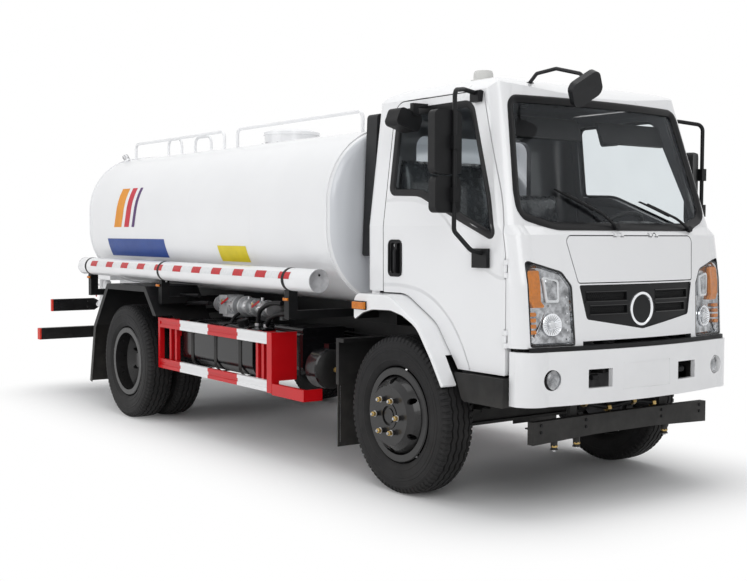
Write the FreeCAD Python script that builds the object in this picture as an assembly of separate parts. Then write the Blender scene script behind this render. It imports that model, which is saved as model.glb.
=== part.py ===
import FreeCAD, Part
import math
import os

# Water tanker truck: two-axle cab-over chassis with an elliptical-square water tank.
# Millimetres. +X forward, +Y to the truck's left, +Z up, ground at Z = 0.
# Every function works from the front axle (X = 0); save() shifts the whole truck so that
# X = 0 is the middle of its overall length.

# ---- overall layout ----
WHEELBASE = 3610.0
TYRE_R = 487.0
TYRE_W = 235.0
FRONT_TRACK = 1805.0
DUAL_SPACING = 278.0
REAR_OUTER_Y = 1203.0
CAB_W = 1790.0
CAB_REAR = -409.0
CAB_FACE = 1115.0
BUMPER_FACE = 1093.0
TANK_GAP = 219.0
TANK_LEN = 4034.0
TANK_W = 2110.0
TANK_H = 1268.0
TANK_BOTTOM = 1074.0
TANK_CROWN_R = 3900.0
TANK_CORNER_R = 515.0
HEAD_DEPTH = 95.0
FRAME_TOP = 960.0
RAIL_H = 220.0
FRAME_W = 860.0
REAR_OVERHANG = 1060.0

# ---- clearances ----
RUN = 0.05
SEAT = 0.3
DOOR_GAP = 6.0

# ---- wheels ----
RIM_R = 292.0
BEAD_R = 254.0
HUB_PCD = 222.25
FRONT_FACE_R = 180.0
WHEEL_NUTS = 6
DISC_PROUD = 165.0
HUB_BORE_R = 42.0
KINGPIN_Y = 760.0
KINGPIN_R = 20.0

# ---- cab (its X values are measured from CAB_SHIFT) ----
CAB_SHIFT = -78.0
DOOR_T = 45.0
DOOR_REAR = -217.0
DOOR_FRONT = 918.0
DOOR_BOTTOM = 804.0
TUB_BOTTOM = 838.0
DOOR_TOP = 2416.0
FLOOR_Z = 1095.0
FLOOR_T = 40.0
ARCH_OUT_Y = 1034.0
CAB_PIVOT_X = 1099.0
CAB_PIVOT_Z = 941.0

# ---- derived ----
AXLE_Z = TYRE_R
REAR_AXLE_X = -WHEELBASE
HALF_CAB = CAB_W / 2
TANK_FRONT = CAB_REAR + CAB_SHIFT - TANK_GAP
TANK_REAR = TANK_FRONT - TANK_LEN
TANK_MID_Z = TANK_BOTTOM + TANK_H / 2
TANK_TOP = TANK_BOTTOM + TANK_H
REAR_X = TANK_REAR - REAR_OVERHANG
FRAME_REAR = REAR_X + 240.0
RAIL_Z0 = FRAME_TOP - RAIL_H
HALF_FRAME = FRAME_W / 2
FRONT_Y = FRONT_TRACK / 2
OUTER_DUAL_Y = REAR_OUTER_Y - TYRE_W / 2
INNER_DUAL_Y = OUTER_DUAL_Y - DUAL_SPACING
SHIFT_X = -(BUMPER_FACE + REAR_X) / 2
ARCH_X = -CAB_SHIFT
CAB_DY = HALF_CAB - 895.0
PIVOT_X = CAB_PIVOT_X + CAB_SHIFT

V = FreeCAD.Vector


# ---- helpers ----
def box(x0, x1, y0, y1, z0, z1):
    return Part.makeBox(x1 - x0, y1 - y0, z1 - z0, V(x0, y0, z0))


def pair(x0, x1, y0, y1, z0, z1):
    """The same box on both sides; y0 and y1 are distances from the centre line."""
    return [box(x0, x1, y0, y1, z0, z1), box(x0, x1, -y1, -y0, z0, z1)]


def cyl_x(r, x0, x1, y, z):
    return Part.makeCylinder(r, x1 - x0, V(x0, y, z), V(1, 0, 0))


def cyl_y(r, y0, y1, x, z):
    return Part.makeCylinder(r, y1 - y0, V(x, y0, z), V(0, 1, 0))


def cyl_z(r, z0, z1, x, y):
    return Part.makeCylinder(r, z1 - z0, V(x, y, z0), V(0, 0, 1))


def fuse(parts):
    out = parts[0]
    if len(parts) > 1:
        out = parts[0].fuse(parts[1:])
    return out.removeSplitter()


def mirror_y(shape):
    return shape.mirror(V(0, 0, 0), V(0, 1, 0))


def both(shape):
    return [shape, mirror_y(shape)]


def arc(a, b, c):
    return Part.Arc(a, b, c).toShape()


def line(a, b):
    return Part.makeLine(a, b)


def poly_wire(points):
    return Part.makePolygon(points + [points[0]])


def prism_y(xz, y0, y1):
    wire = poly_wire([V(x, y0, z) for x, z in xz])
    return Part.Face(wire).extrude(V(0, y1 - y0, 0))


def prism_x(yz, x0, x1):
    wire = poly_wire([V(x0, y, z) for y, z in yz])
    return Part.Face(wire).extrude(V(x1 - x0, 0, 0))


def prism_z(xy, z0, z1):
    wire = poly_wire([V(x, y, z0) for x, y in xy])
    return Part.Face(wire).extrude(V(0, 0, z1 - z0))


def rounded_wire(points, radii, place):
    """Closed wire through 2-D points with each corner rounded by its radius."""
    n = len(points)
    starts = []
    mids = []
    ends = []
    for i in range(n):
        px, py = points[i]
        ax, ay = points[i - 1]
        bx, by = points[(i + 1) % n]
        la = math.hypot(ax - px, ay - py)
        lb = math.hypot(bx - px, by - py)
        ua = ((ax - px) / la, (ay - py) / la)
        ub = ((bx - px) / lb, (by - py) / lb)
        half = math.acos(max(-1.0, min(1.0, ua[0] * ub[0] + ua[1] * ub[1]))) / 2
        cut = min(radii[i] / math.tan(half), 0.45 * la, 0.45 * lb)
        r = cut * math.tan(half)
        bis = (ua[0] + ub[0], ua[1] + ub[1])
        lbis = math.hypot(bis[0], bis[1])
        d = r / math.sin(half) - r
        starts.append((px + ua[0] * cut, py + ua[1] * cut))
        ends.append((px + ub[0] * cut, py + ub[1] * cut))
        mids.append((px + bis[0] / lbis * d, py + bis[1] / lbis * d))
    edges = []
    for i in range(n):
        s = place(*starts[i])
        e = place(*ends[i])
        edges.append(arc(s, place(*mids[i]), e))
        edges.append(line(e, place(*starts[(i + 1) % n])))
    return Part.Wire(edges)


def slab_y(points, radii, y0, y1):
    wire = rounded_wire(points, radii, lambda a, b: V(a, y0, b))
    return Part.Face(wire).extrude(V(0, y1 - y0, 0))


def slab_x(points, radii, x0, x1):
    wire = rounded_wire(points, radii, lambda a, b: V(x0, a, b))
    return Part.Face(wire).extrude(V(x1 - x0, 0, 0))


def pipe(points, r, bend):
    """Round bar or pipe along a path of straight runs joined by bends."""
    edges = []
    at = points[0]
    for i in range(1, len(points) - 1):
        p = points[i]
        a = (at - p)
        a.normalize()
        b = (points[i + 1] - p)
        b.normalize()
        half = a.getAngle(b) / 2
        cut = bend / math.tan(half)
        s = p + a * cut
        e = p + b * cut
        m = a + b
        m.normalize()
        mid = p + m * (bend / math.sin(half) - bend)
        edges.append(line(at, s))
        edges.append(arc(s, mid, e))
        at = e
    edges.append(line(at, points[-1]))
    spine = Part.Wire(edges)
    start = points[1] - points[0]
    profile = Part.Wire([Part.makeCircle(r, points[0], start)])
    return spine.makePipeShell([profile], True, False)


def ring_y(profile, x, z):
    """Solid of revolution about an axis along Y through (x, z); profile in (y, r)."""
    wire = poly_wire([V(x, y, z + r) for y, r in profile])
    return Part.Face(wire).revolve(V(x, 0, z), V(0, 1, 0), 360)


def polar(count, pcd, phase=0.0):
    for i in range(count):
        a = phase + 2 * math.pi * i / count
        yield pcd / 2 * math.cos(a), pcd / 2 * math.sin(a)


def save(node, shapes, shift=0.0):
    if not isinstance(shapes, list):
        shapes = [shapes]
    solids = []
    for s in shapes:
        solids.extend(s.Solids)
    shape = Part.makeCompound(solids)
    if len(solids) == 1:
        shape = solids[0]
    shape = shape.copy()
    shape.translate(V(SHIFT_X + shift, 0, 0))
    print(node, len(solids), shape.isValid(), round(shape.Volume / 1e6, 2))
    shape.exportStep("parts/%s.step" % node)


def save_cab(node, shapes):
    save(node, shapes, CAB_SHIFT)


# ---- wheels ----
def tyre(x, y):
    h = TYRE_W / 2
    k = TYRE_R / 487.0
    inner = h - 30.0
    pts = [V(x, y - inner, AXLE_Z + BEAD_R + SEAT), V(x, y - inner, AXLE_Z + RIM_R * 0.985),
           V(x, y - h + 18, AXLE_Z + RIM_R + 8)]
    edges = [line(pts[0], pts[1]), line(pts[1], pts[2])]
    side_top = V(x, y - h + 12, AXLE_Z + 452 * k)
    edges.append(arc(pts[2], V(x, y - h, AXLE_Z + 375 * k), side_top))
    crown_a = V(x, y - h + 34, AXLE_Z + 482 * k)
    edges.append(arc(side_top, V(x, y - h + 18, AXLE_Z + 472 * k), crown_a))
    crown_b = V(x, y + h - 34, AXLE_Z + 482 * k)
    edges.append(arc(crown_a, V(x, y, AXLE_Z + TYRE_R), crown_b))
    top_b = V(x, y + h - 12, AXLE_Z + 452 * k)
    edges.append(arc(crown_b, V(x, y + h - 18, AXLE_Z + 472 * k), top_b))
    foot_b = V(x, y + h - 18, AXLE_Z + RIM_R + 8)
    edges.append(arc(top_b, V(x, y + h, AXLE_Z + 375 * k), foot_b))
    q1 = V(x, y + inner, AXLE_Z + RIM_R * 0.985)
    q0 = V(x, y + inner, AXLE_Z + BEAD_R + SEAT)
    edges.append(line(foot_b, q1))
    edges.append(line(q1, q0))
    edges.append(line(q0, pts[0]))
    return Part.Face(Part.Wire(edges)).revolve(V(x, 0, AXLE_Z), V(0, 1, 0), 360)


def rim_barrel(x, y):
    """Rim with both flanges; the tyre sits between them."""
    w = TYRE_W / 2 - 30.0 + SEAT
    prof = [(y - w - 14, BEAD_R - 8), (y - w - 14, RIM_R - 6), (y - w - 8, RIM_R), (y - w, RIM_R - 6),
            (y - w, BEAD_R), (y + w, BEAD_R), (y + w, RIM_R - 6), (y + w + 8, RIM_R),
            (y + w + 14, RIM_R - 6), (y + w + 14, BEAD_R - 8)]
    return ring_y(prof, x, AXLE_Z)


def disc(x, y, weld, face, sign, flat_r=HUB_PCD / 2 + 34.0, waist=0.80):
    """Dished wheel disc from the rim (offset weld) to its bolting face (offset face)."""
    t = 12.0
    outer = BEAD_R - 7.0
    a = y + sign * weld
    b = y + sign * face
    m = y + sign * (weld * 0.35 + face * 0.65)
    prof = [(a, outer), (m, outer * waist), (b, flat_r), (b, 82.0), (b - sign * t, 82.0),
            (b - sign * t, flat_r - 3), (m - sign * t, outer * waist - 8), (a - sign * (t + 14), outer - 8),
            (a - sign * (t + 14), outer)]
    return ring_y(prof, x, AXLE_Z)


def hand_holes(x, y0, y1, r, hole_r, count, phase=None):
    cuts = []
    for dx, dz in polar(count, 2 * r, math.pi / count if phase is None else phase):
        cuts.append(cyl_y(hole_r, y0, y1, x + dx, AXLE_Z + dz))
    return cuts


def front_wheel(side):
    """Rim, disc and hub; side is -1 for the right wheel."""
    x = 0.0
    y = side * FRONT_Y
    face = side * (DISC_PROUD - 0.0)
    parts = [rim_barrel(x, y), disc(x, y, 72.0, DISC_PROUD, side, FRONT_FACE_R, 0.87)]
    seat = y + face - side * 12
    hub_in = side * (KINGPIN_Y + 64)
    lo, hi = min(hub_in, seat), max(hub_in, seat)
    parts.append(cyl_y(HUB_PCD / 2 - 24, lo, hi, x, AXLE_Z))
    flo, fhi = min(seat - side * 16, seat), max(seat - side * 16, seat)
    parts.append(cyl_y(HUB_PCD / 2 + 26, flo, fhi, x, AXLE_Z))
    cap0 = seat
    cap1 = y + face + side * 4
    parts.append(cyl_y(81.0, min(cap0, cap1), max(cap0, cap1), x, AXLE_Z))
    body = fuse(parts)
    body = body.cut(cyl_y(60.0, min(cap1, cap1 - side * 12), max(cap1, cap1 - side * 12), x, AXLE_Z))
    cap2 = cap1 - side * 13
    body = body.fuse(cyl_y(44.0, min(cap2, cap1 - side * 4), max(cap2, cap1 - side * 4), x, AXLE_Z))
    bore1 = seat - side * 10
    body = body.cut(cyl_y(HUB_BORE_R + RUN, min(hub_in - side * 5, bore1), max(hub_in - side * 5, bore1), x, AXLE_Z))
    body = body.cut(hand_holes(x, y - 200, y + 200, 212.0, 19.0, WHEEL_NUTS))
    nuts = []
    for dx, dz in polar(WHEEL_NUTS, HUB_PCD):
        n0 = y + face
        nuts.append(cyl_y(15.0, min(n0 - side * 2, n0 + side * 22), max(n0 - side * 2, n0 + side * 22), x + dx, AXLE_Z + dz))
    return fuse([body] + nuts)


def rear_wheel(side):
    """Twin rims bolted face to face on one hub."""
    x = REAR_AXLE_X
    yo = side * OUTER_DUAL_Y
    yi = side * INNER_DUAL_Y
    mid = (yo + yi) / 2
    offset = DUAL_SPACING / 2
    parts = [rim_barrel(x, yo), rim_barrel(x, yi)]
    parts.append(disc(x, yo, 30.0, offset, -side))
    parts.append(disc(x, yi, 30.0, offset, side))
    hub0 = side * (INNER_DUAL_Y - 90)
    hub1 = mid + side * 12
    parts.append(cyl_y(HUB_PCD / 2 - 24, min(hub0, hub1), max(hub0, hub1), x, AXLE_Z))
    parts.append(cyl_y(81.0, min(mid - side * 14, mid + side * 60), max(mid - side * 14, mid + side * 60), x, AXLE_Z))
    tip0 = mid + side * 60
    tip1 = mid + side * 140
    parts.append(cyl_y(62.0, min(tip0, tip1), max(tip0, tip1), x, AXLE_Z))
    parts.append(cyl_y(70.0, min(tip0, tip0 + side * 12), max(tip0, tip0 + side * 12), x, AXLE_Z))
    body = fuse(parts)
    b0 = hub0 - side * 5
    b1 = mid + side * 40
    body = body.cut(cyl_y(HUB_BORE_R + RUN, min(b0, b1), max(b0, b1), x, AXLE_Z))
    body = body.cut(hand_holes(x, min(yo, yi) - 60, max(yo, yi) + 60, 196.0, 19.0, 8))
    nuts = []
    for dx, dz in polar(WHEEL_NUTS, HUB_PCD):
        nuts.append(cyl_y(15.0, min(mid, mid + side * 34), max(mid, mid + side * 34), x + dx, AXLE_Z + dz))
    return fuse([body] + nuts)


# ---- axles and steering ----
def knuckle(side):
    """Stub axle carried by a kingpin; two ears straddle the axle beam's eye."""
    yk = side * KINGPIN_Y
    ear = 46.0
    ears = [cyl_z(ear, AXLE_Z + 48, AXLE_Z + 92, 0, yk), cyl_z(ear, AXLE_Z - 92, AXLE_Z - 48, 0, yk)]
    web0 = yk + side * 39
    web1 = yk + side * 58
    ears.append(box(-44, 44, min(web0, web1), max(web0, web1), AXLE_Z - 92, AXLE_Z + 92))
    pin = cyl_z(KINGPIN_R, AXLE_Z - 96, AXLE_Z + 96, 0, yk)
    tip = side * (FRONT_Y + DISC_PROUD - 12 - 14)
    root = yk + side * 50
    stub = cyl_y(HUB_BORE_R, min(root, tip), max(root, tip), 0, AXLE_Z)
    arm_z = AXLE_Z - 70
    arm = box(-TIE_ARM, -20, min(yk - 22, yk + 22), max(yk - 22, yk + 22), arm_z - 12, arm_z + 12)
    eye = cyl_z(26, arm_z - 12, arm_z + 12, -TIE_ARM, yk)
    body = fuse(ears + [pin, stub, arm, eye])
    return body.cut(cyl_z(9 + RUN, arm_z - 20, arm_z + 20, -TIE_ARM, yk))


TIE_ARM = 190.0


def tie_rod():
    z = AXLE_Z - 70
    y = KINGPIN_Y
    bar = cyl_y(17, -y + 30, y - 30, -TIE_ARM, z - 42)
    ends = []
    for s in (-1, 1):
        ends.append(cyl_z(24, z - 60, z - 18, -TIE_ARM, s * y))
        ends.append(cyl_z(9, z - 20, z + 16, -TIE_ARM, s * y))
        ends.append(cyl_y(20, min(s * (y - 60), s * (y - 4)), max(s * (y - 60), s * (y - 4)), -TIE_ARM, z - 42))
    return fuse([bar] + ends)


def leaf_spring(x, y, z_seat, span, leaves, camber):
    """Stack of flat leaves, each shorter than the one above, gently arched."""
    out = []
    for i in range(leaves):
        half = span / 2 * (1 - 0.13 * i)
        z0 = z_seat + (leaves - i - 1) * 11.0
        rise = camber * (half / (span / 2)) ** 2
        a = V(x - half, y - 32, z0 + rise)
        m = V(x, y - 32, z0)
        b = V(x + half, y - 32, z0 + rise)
        up = V(0, 0, 10.8)
        wire = Part.Wire([arc(a, m, b), line(b, b + up), arc(b + up, m + up, a + up), line(a + up, a)])
        out.append(Part.Face(wire).extrude(V(0, 64, 0)))
    return out


def spring_set(x, y, z_seat, span, leaves, camber):
    parts = leaf_spring(x, y, z_seat, span, leaves, camber)
    top = z_seat + (leaves - 1) * 11.0 + camber
    reach = RAIL_Z0 - SEAT
    for s in (-1, 1):
        ex = x + s * (span / 2)
        parts.append(cyl_y(24, y - 36, y + 36, ex, top + 6))
        parts.append(prism_y([(ex - 26, top + 6), (ex + 26, top + 6), (ex + 60, reach), (ex - 60, reach)], y - 38, y + 38))
    parts.append(box(x - 60, x + 60, y - 46, y + 46, z_seat - 12, z_seat))
    parts.append(box(x - 50, x + 50, y - 30, y + 30, z_seat - 2, z_seat + leaves * 11.0 + 2))
    parts.append(box(x - 60, x + 60, y - 46, y + 46, z_seat + leaves * 11.0 - 0.2, z_seat + leaves * 11.0 + 16))
    for dx in (-42, 42):
        for dy in (-39, 39):
            parts.append(cyl_z(7, z_seat - 26, z_seat + leaves * 11.0 + 26, x + dx, y + dy))
    return parts


def front_axle():
    """Forged beam with a dropped middle and kingpin eyes, with its springs."""
    drop = 70.0
    yk = KINGPIN_Y
    z = AXLE_Z
    top = [(-yk + 30, z + 38), (-yk + 200, z - drop + 48), (yk - 200, z - drop + 48), (yk - 30, z + 38)]
    low = [(yk - 30, z - 38), (yk - 190, z - drop - 48), (-yk + 190, z - drop - 48), (-yk + 30, z - 38)]
    beam = prism_x(top + low, -42, 42)
    groove_top = [(-yk + 230, z - drop + 30), (yk - 230, z - drop + 30), (yk - 230, z - drop - 30), (-yk + 230, z - drop - 30)]
    beam = beam.cut(prism_x(groove_top, 14, 60))
    beam = beam.cut(prism_x(groove_top, -60, -14))
    parts = [beam]
    for s in (-1, 1):
        parts.append(cyl_z(36, z - 42, z + 42, 0, s * yk))
    y = HALF_FRAME - 35
    seat = z - drop + 48
    for s in (-1, 1):
        parts.extend(spring_set(0, s * y, seat + 12, 1180, 7, 95))
    body = fuse(parts)
    for s in (-1, 1):
        body = body.cut(cyl_z(KINGPIN_R + RUN, z - 80, z + 80, 0, s * yk))
    return body


def rear_axle():
    """Banjo housing, tubes, spindles and springs."""
    x = REAR_AXLE_X
    z = AXLE_Z
    tube_end = INNER_DUAL_Y - 100
    parts = [cyl_y(62, -tube_end, tube_end, x, z)]
    spindle = (OUTER_DUAL_Y + INNER_DUAL_Y) / 2 + 30
    parts.append(cyl_y(HUB_BORE_R, -spindle, spindle, x, z))
    parts.append(cyl_x(165, x - 70, x + 110, 0, z))
    parts.append(Part.makeCone(150, 70, 120, V(x + 110, 0, z), V(1, 0, 0)))
    parts.append(cyl_x(48, x + 230, x + 300, 0, z))
    y = HALF_FRAME - 35
    for s in (-1, 1):
        parts.append(box(x - 62, x + 62, s * y - 46, s * y + 46, z + 30, z + 78))
        parts.extend(spring_set(x, s * y, z + 78 + 12, 1250, 6, 50))
    return fuse(parts)


def powertrain():
    """Engine and gearbox as plain blocks, with the propeller shaft behind them."""
    eng = box(-380, 590, -270, 270, 590, FLOOR_Z - 60)
    gear = prism_y([(-380, 620), (-380, 960), (-700, 900), (-1050, 840), (-1050, 680)], -170, 170)
    x0 = -1050.0
    x1 = REAR_AXLE_X + 300
    z0 = 735.0
    z1 = AXLE_Z
    d = V(x1 - x0, 0, z1 - z0)
    length = d.Length
    shaft = Part.makeCylinder(45, length - 130, V(x0, 0, z0) + d * (70 / length), d)
    ends = [Part.makeCylinder(70, 74, V(x0, 0, z0), d)]
    ends.append(Part.makeCylinder(58, 64, V(x1, 0, z1) - d * (64.0 / length), d))
    rear_cut = box(x1 - 200, x1 + SEAT, -100, 100, z1 - 150, z1 + 150)
    rear_end = ends[1].cut(rear_cut)
    mounts = []
    for s in (-1, 1):
        inner = HALF_FRAME - 70 - SEAT
        mounts.append(box(60, 180, min(s * 250, s * inner), max(s * 250, s * inner), 800, 860))
        mounts.append(box(-960, -860, min(s * 150, s * inner), max(s * 150, s * inner), 790, 840))
    return fuse([eng, gear, shaft, ends[0], rear_end] + mounts)


# ---- chassis frame ----
def frame():
    """Two channel rails and cross-members, tank saddles and outriggers, as separate solids."""
    out = []
    front = FRAME_FRONT
    for s in (-1, 1):
        outer = box(FRAME_REAR, front, min(s * HALF_FRAME, s * (HALF_FRAME - 70)), max(s * HALF_FRAME, s * (HALF_FRAME - 70)), RAIL_Z0, FRAME_TOP)
        inner = box(FRAME_REAR - 5, front + 5, min(s * (HALF_FRAME - 8), s * (HALF_FRAME - 80)), max(s * (HALF_FRAME - 8), s * (HALF_FRAME - 80)), RAIL_Z0 + 9, FRAME_TOP - 9)
        out.append(outer.cut(inner))
    y = HALF_FRAME - 8 - SEAT
    xs = [FRAME_REAR + 40, TANK_REAR + 240, REAR_AXLE_X - 760, REAR_AXLE_X + 760, (REAR_AXLE_X - 1000) / 2 + 180, -1280.0]
    for x in xs:
        beam = box(x - 35, x + 35, -y, y, RAIL_Z0 + 40, FRAME_TOP - 9 - SEAT)
        beam = beam.cut(box(x - 29, x + 40, -y - 5, y + 5, RAIL_Z0 + 48, FRAME_TOP - 17))
        out.append(beam)
    tank = tank_body(SEAT)
    for s in (-1, 1):
        a = s * HALF_FRAME
        b = s * (HALF_FRAME - 70)
        sub = box(TANK_REAR + 60, TANK_FRONT - 60, min(a, b), max(a, b), FRAME_TOP + SEAT, TANK_BOTTOM + 40)
        out.append(sub.cut(tank))
    for x in OUTRIGGERS:
        for s in (-1, 1):
            a = s * (HALF_FRAME + SEAT)
            b = s * (TUBE_Y + 30)
            arm = box(x - 30, x + 30, min(a, b), max(a, b), FRAME_TOP + 50, FRAME_TOP + 106)
            c = s * (TUBE_Y - 40)
            post = box(x - 30, x + 30, min(b, c), max(b, c), FRAME_TOP + 106, TUBE_Z)
            arm = fuse([arm, post]).cut(tank)
            arm = arm.cut(cyl_x(TUBE_R + SEAT, x - 50, x + 50, s * TUBE_Y, TUBE_Z))
            out.append(arm)
    return out


def front_brackets():
    """Two bumper stays and the front cross-member that carries the cab's pivots."""
    out = []
    front = FRAME_FRONT
    y = HALF_FRAME - 8 - SEAT
    for s in (-1, 1):
        a = s * (HALF_FRAME - 68)
        b = s * (HALF_FRAME - 54)
        stay = box(front + SEAT, BUMPER_FACE - 20, min(a, b), max(a, b), BUMPER_Z0 + 20, BUMPER_Z0 + 75)
        stay = stay.fuse(box(front + SEAT, front + 24, min(a, b), max(a, b), BUMPER_Z0 + 20, FRAME_TOP - 40))
        tip = plan_block(BUMPER_FACE - BUMPER_T - SEAT, HALF_CAB - 40, 100.0, 160.0, BUMPER_Z0, BUMPER_Z1)
        out.append(stay.common(tip))
    member = [box(front - 60, front - SEAT, -y, y, RAIL_Z0 + 50, FRAME_TOP - 9 - SEAT)]
    for s in (-1, 1):
        a = s * (PIVOT_ARM_Y + 26)
        b = s * (PIVOT_ARM_Y + 50)
        member.append(box(front - 20, PIVOT_X + 16, min(a, b), max(a, b), RAIL_Z0 + 60, CAB_PIVOT_Z))
        member.append(cyl_y(20, min(a, b), max(a, b), PIVOT_X, CAB_PIVOT_Z))
        member.append(box(front - 60, PIVOT_X, min(a, b), max(a, b), CAB_PIVOT_Z - 40, CAB_PIVOT_Z))
    pivots = fuse(member)
    out.append(pivots.cut(cyl_y(CAB_PIN_R + RUN, -HALF_CAB, HALF_CAB, PIVOT_X, CAB_PIVOT_Z)))
    return out


FRAME_FRONT = 950.0
CAB_PIN_R = 12.0
PIVOT_ARM_Y = 268.0
TUBE_R = 78.0
TUBE_Y = 1111.0
TUBE_Z = 1280.0
OUTRIGGERS = [TANK_FRONT - 359.0, (TANK_FRONT + TANK_REAR) / 2 - 322.0, TANK_REAR + 187.0]


# ---- tank ----
def tank_wire(x, k=1.0, grow=0.0):
    a = TANK_W / 2 * k + grow
    b = TANK_H / 2 * k + grow
    rc = TANK_CORNER_R * k * min(1.0, 0.98 * TANK_H / 1256.0) + grow
    r1 = TANK_CROWN_R * k * (TANK_W / 2110.0)
    yc = a - rc
    zc = (b - r1) + math.sqrt((r1 - rc) ** 2 - yc ** 2)
    m = TANK_MID_Z
    ux = yc / (r1 - rc)
    uz = (zc - (b - r1)) / (r1 - rc)
    py = yc + rc * ux
    pz = zc + rc * uz
    ang = (math.atan2(uz, ux)) / 2
    qy = yc + rc * math.cos(ang)
    qz = zc + rc * math.sin(ang)
    P = lambda y, z: V(x, y, m + z)
    edges = [arc(P(-py, pz), P(0, b), P(py, pz)), arc(P(py, pz), P(qy, qz), P(a, zc)),
             line(P(a, zc), P(a, -zc)), arc(P(a, -zc), P(qy, -qz), P(py, -pz)),
             arc(P(py, -pz), P(0, -b), P(-py, -pz)), arc(P(-py, -pz), P(-qy, -qz), P(-a, -zc)),
             line(P(-a, -zc), P(-a, zc)), arc(P(-a, zc), P(-qy, qz), P(-py, pz))]
    return Part.Wire(edges)


def tank_body(grow=0.0):
    body = Part.Face(tank_wire(TANK_REAR, 1.0, grow)).extrude(V(TANK_LEN, 0, 0))
    heads = []
    for end, s in ((TANK_FRONT, 1), (TANK_REAR, -1)):
        steps = [(0.0, 1.0), (0.22, 0.985), (0.52, 0.90), (0.82, 0.70), (1.0, 0.35)]
        wires = [tank_wire(end + s * d * HEAD_DEPTH, k, grow) for d, k in steps]
        heads.append(Part.makeLoft(wires, True, False))
    return body.fuse(heads)


def tank():
    shell = fuse([tank_body()])
    ring_f = Part.Face(tank_wire(TANK_FRONT - 14, 1.0, 7.0)).extrude(V(18, 0, 0))
    ring_r = Part.Face(tank_wire(TANK_REAR - 4, 1.0, 7.0)).extrude(V(18, 0, 0))
    hx = HATCH_X
    collar = cyl_z(HATCH_R, TANK_TOP - 60, HATCH_TOP, hx, 0)
    flange = cyl_z(HATCH_R + 12, HATCH_TOP - 14, HATCH_TOP, hx, 0)
    parts = [shell, ring_f, ring_r, collar, flange]
    parts.extend(hinge_ears())
    body = fuse(parts)
    return body.cut(cyl_y(HATCH_PIN_R + RUN, -100, 100, hx - HATCH_R - 40, HATCH_TOP + 8))


HATCH_R = 232.0
HATCH_X = TANK_FRONT - 0.53 * TANK_LEN
HATCH_TOP = TANK_TOP + 96.0
HATCH_PIN_R = 8.0
RAIL_Y = 640.0
RAIL_TOP = TANK_TOP + 88.0
RAIL_SPANS = [(TANK_REAR + 120, TANK_REAR + 0.465 * TANK_LEN), (TANK_REAR + 0.52 * TANK_LEN, TANK_FRONT - 180)]
HOOPS = [(TANK_REAR + 0.168 * TANK_LEN, TANK_REAR + 0.235 * TANK_LEN, RAIL_TOP + 8),
         (TANK_REAR + 0.30 * TANK_LEN, TANK_REAR + 0.375 * TANK_LEN, RAIL_TOP - 8)]


def top_rail(x0, x1):
    out = []
    zf = TANK_TOP - 110
    for s in (-1, 1):
        pts = [V(x0, s * RAIL_Y, zf), V(x0, s * RAIL_Y, RAIL_TOP), V(x1, s * RAIL_Y, RAIL_TOP), V(x1, s * RAIL_Y, zf)]
        out.append(pipe(pts, 13, 50))
    return out


def hoop(x0, x1, top):
    out = []
    zf = TANK_TOP - 110
    for s in (-1, 1):
        y = s * (RAIL_Y - 70)
        pts = [V(x0, y, zf), V(x0, y, top), V(x1, y, top), V(x1, y, zf)]
        out.append(pipe(pts, 12, 70))
    return out


def tank_rails():
    """Hand rails and hoops along the top of the tank."""
    rails = []
    for x0, x1 in RAIL_SPANS:
        rails.extend(top_rail(x0, x1))
    for x0, x1, top in HOOPS:
        rails.extend(hoop(x0, x1, top))
    skin = tank_body(SEAT)
    out = []
    for rail in rails:
        out.extend(rail.cut(skin).Solids)
    return out


def hinge_ears():
    out = []
    x = HATCH_X - HATCH_R - 40
    z = HATCH_TOP + 8
    for y in (-48, 30):
        out.append(box(x - 12, x + 62, y, y + 18, HATCH_TOP - 34, HATCH_TOP - 2))
        out.append(box(x - 12, x + 22, y, y + 18, HATCH_TOP - 34, z))
        out.append(cyl_y(16, y, y + 18, x, z))
    return out


def manhole_lid():
    x = HATCH_X - HATCH_R - 40
    z = HATCH_TOP + 8
    plate = cyl_z(HATCH_R + 8, HATCH_TOP + SEAT, HATCH_TOP + 12, HATCH_X, 0)
    dome = Part.makeCone(HATCH_R - 14, HATCH_R - 60, 22, V(HATCH_X, 0, HATCH_TOP + 12), V(0, 0, 1))
    arm = box(x, HATCH_X - HATCH_R + 60, -24, 24, HATCH_TOP + 4, HATCH_TOP + 16)
    barrel = cyl_y(15, -24, 24, x, z)
    pin = cyl_y(HATCH_PIN_R, -56, 56, x, z)
    return fuse([plate, dome, arm, barrel, pin])


def side_tubes():
    """Long round hose lockers along both sides, closed by end discs."""
    out = []
    for s in (-1, 1):
        tube = cyl_x(TUBE_R, TANK_REAR + 30, TANK_FRONT - 4, s * TUBE_Y, TUBE_Z)
        out.append(tube)
    return out


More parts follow.
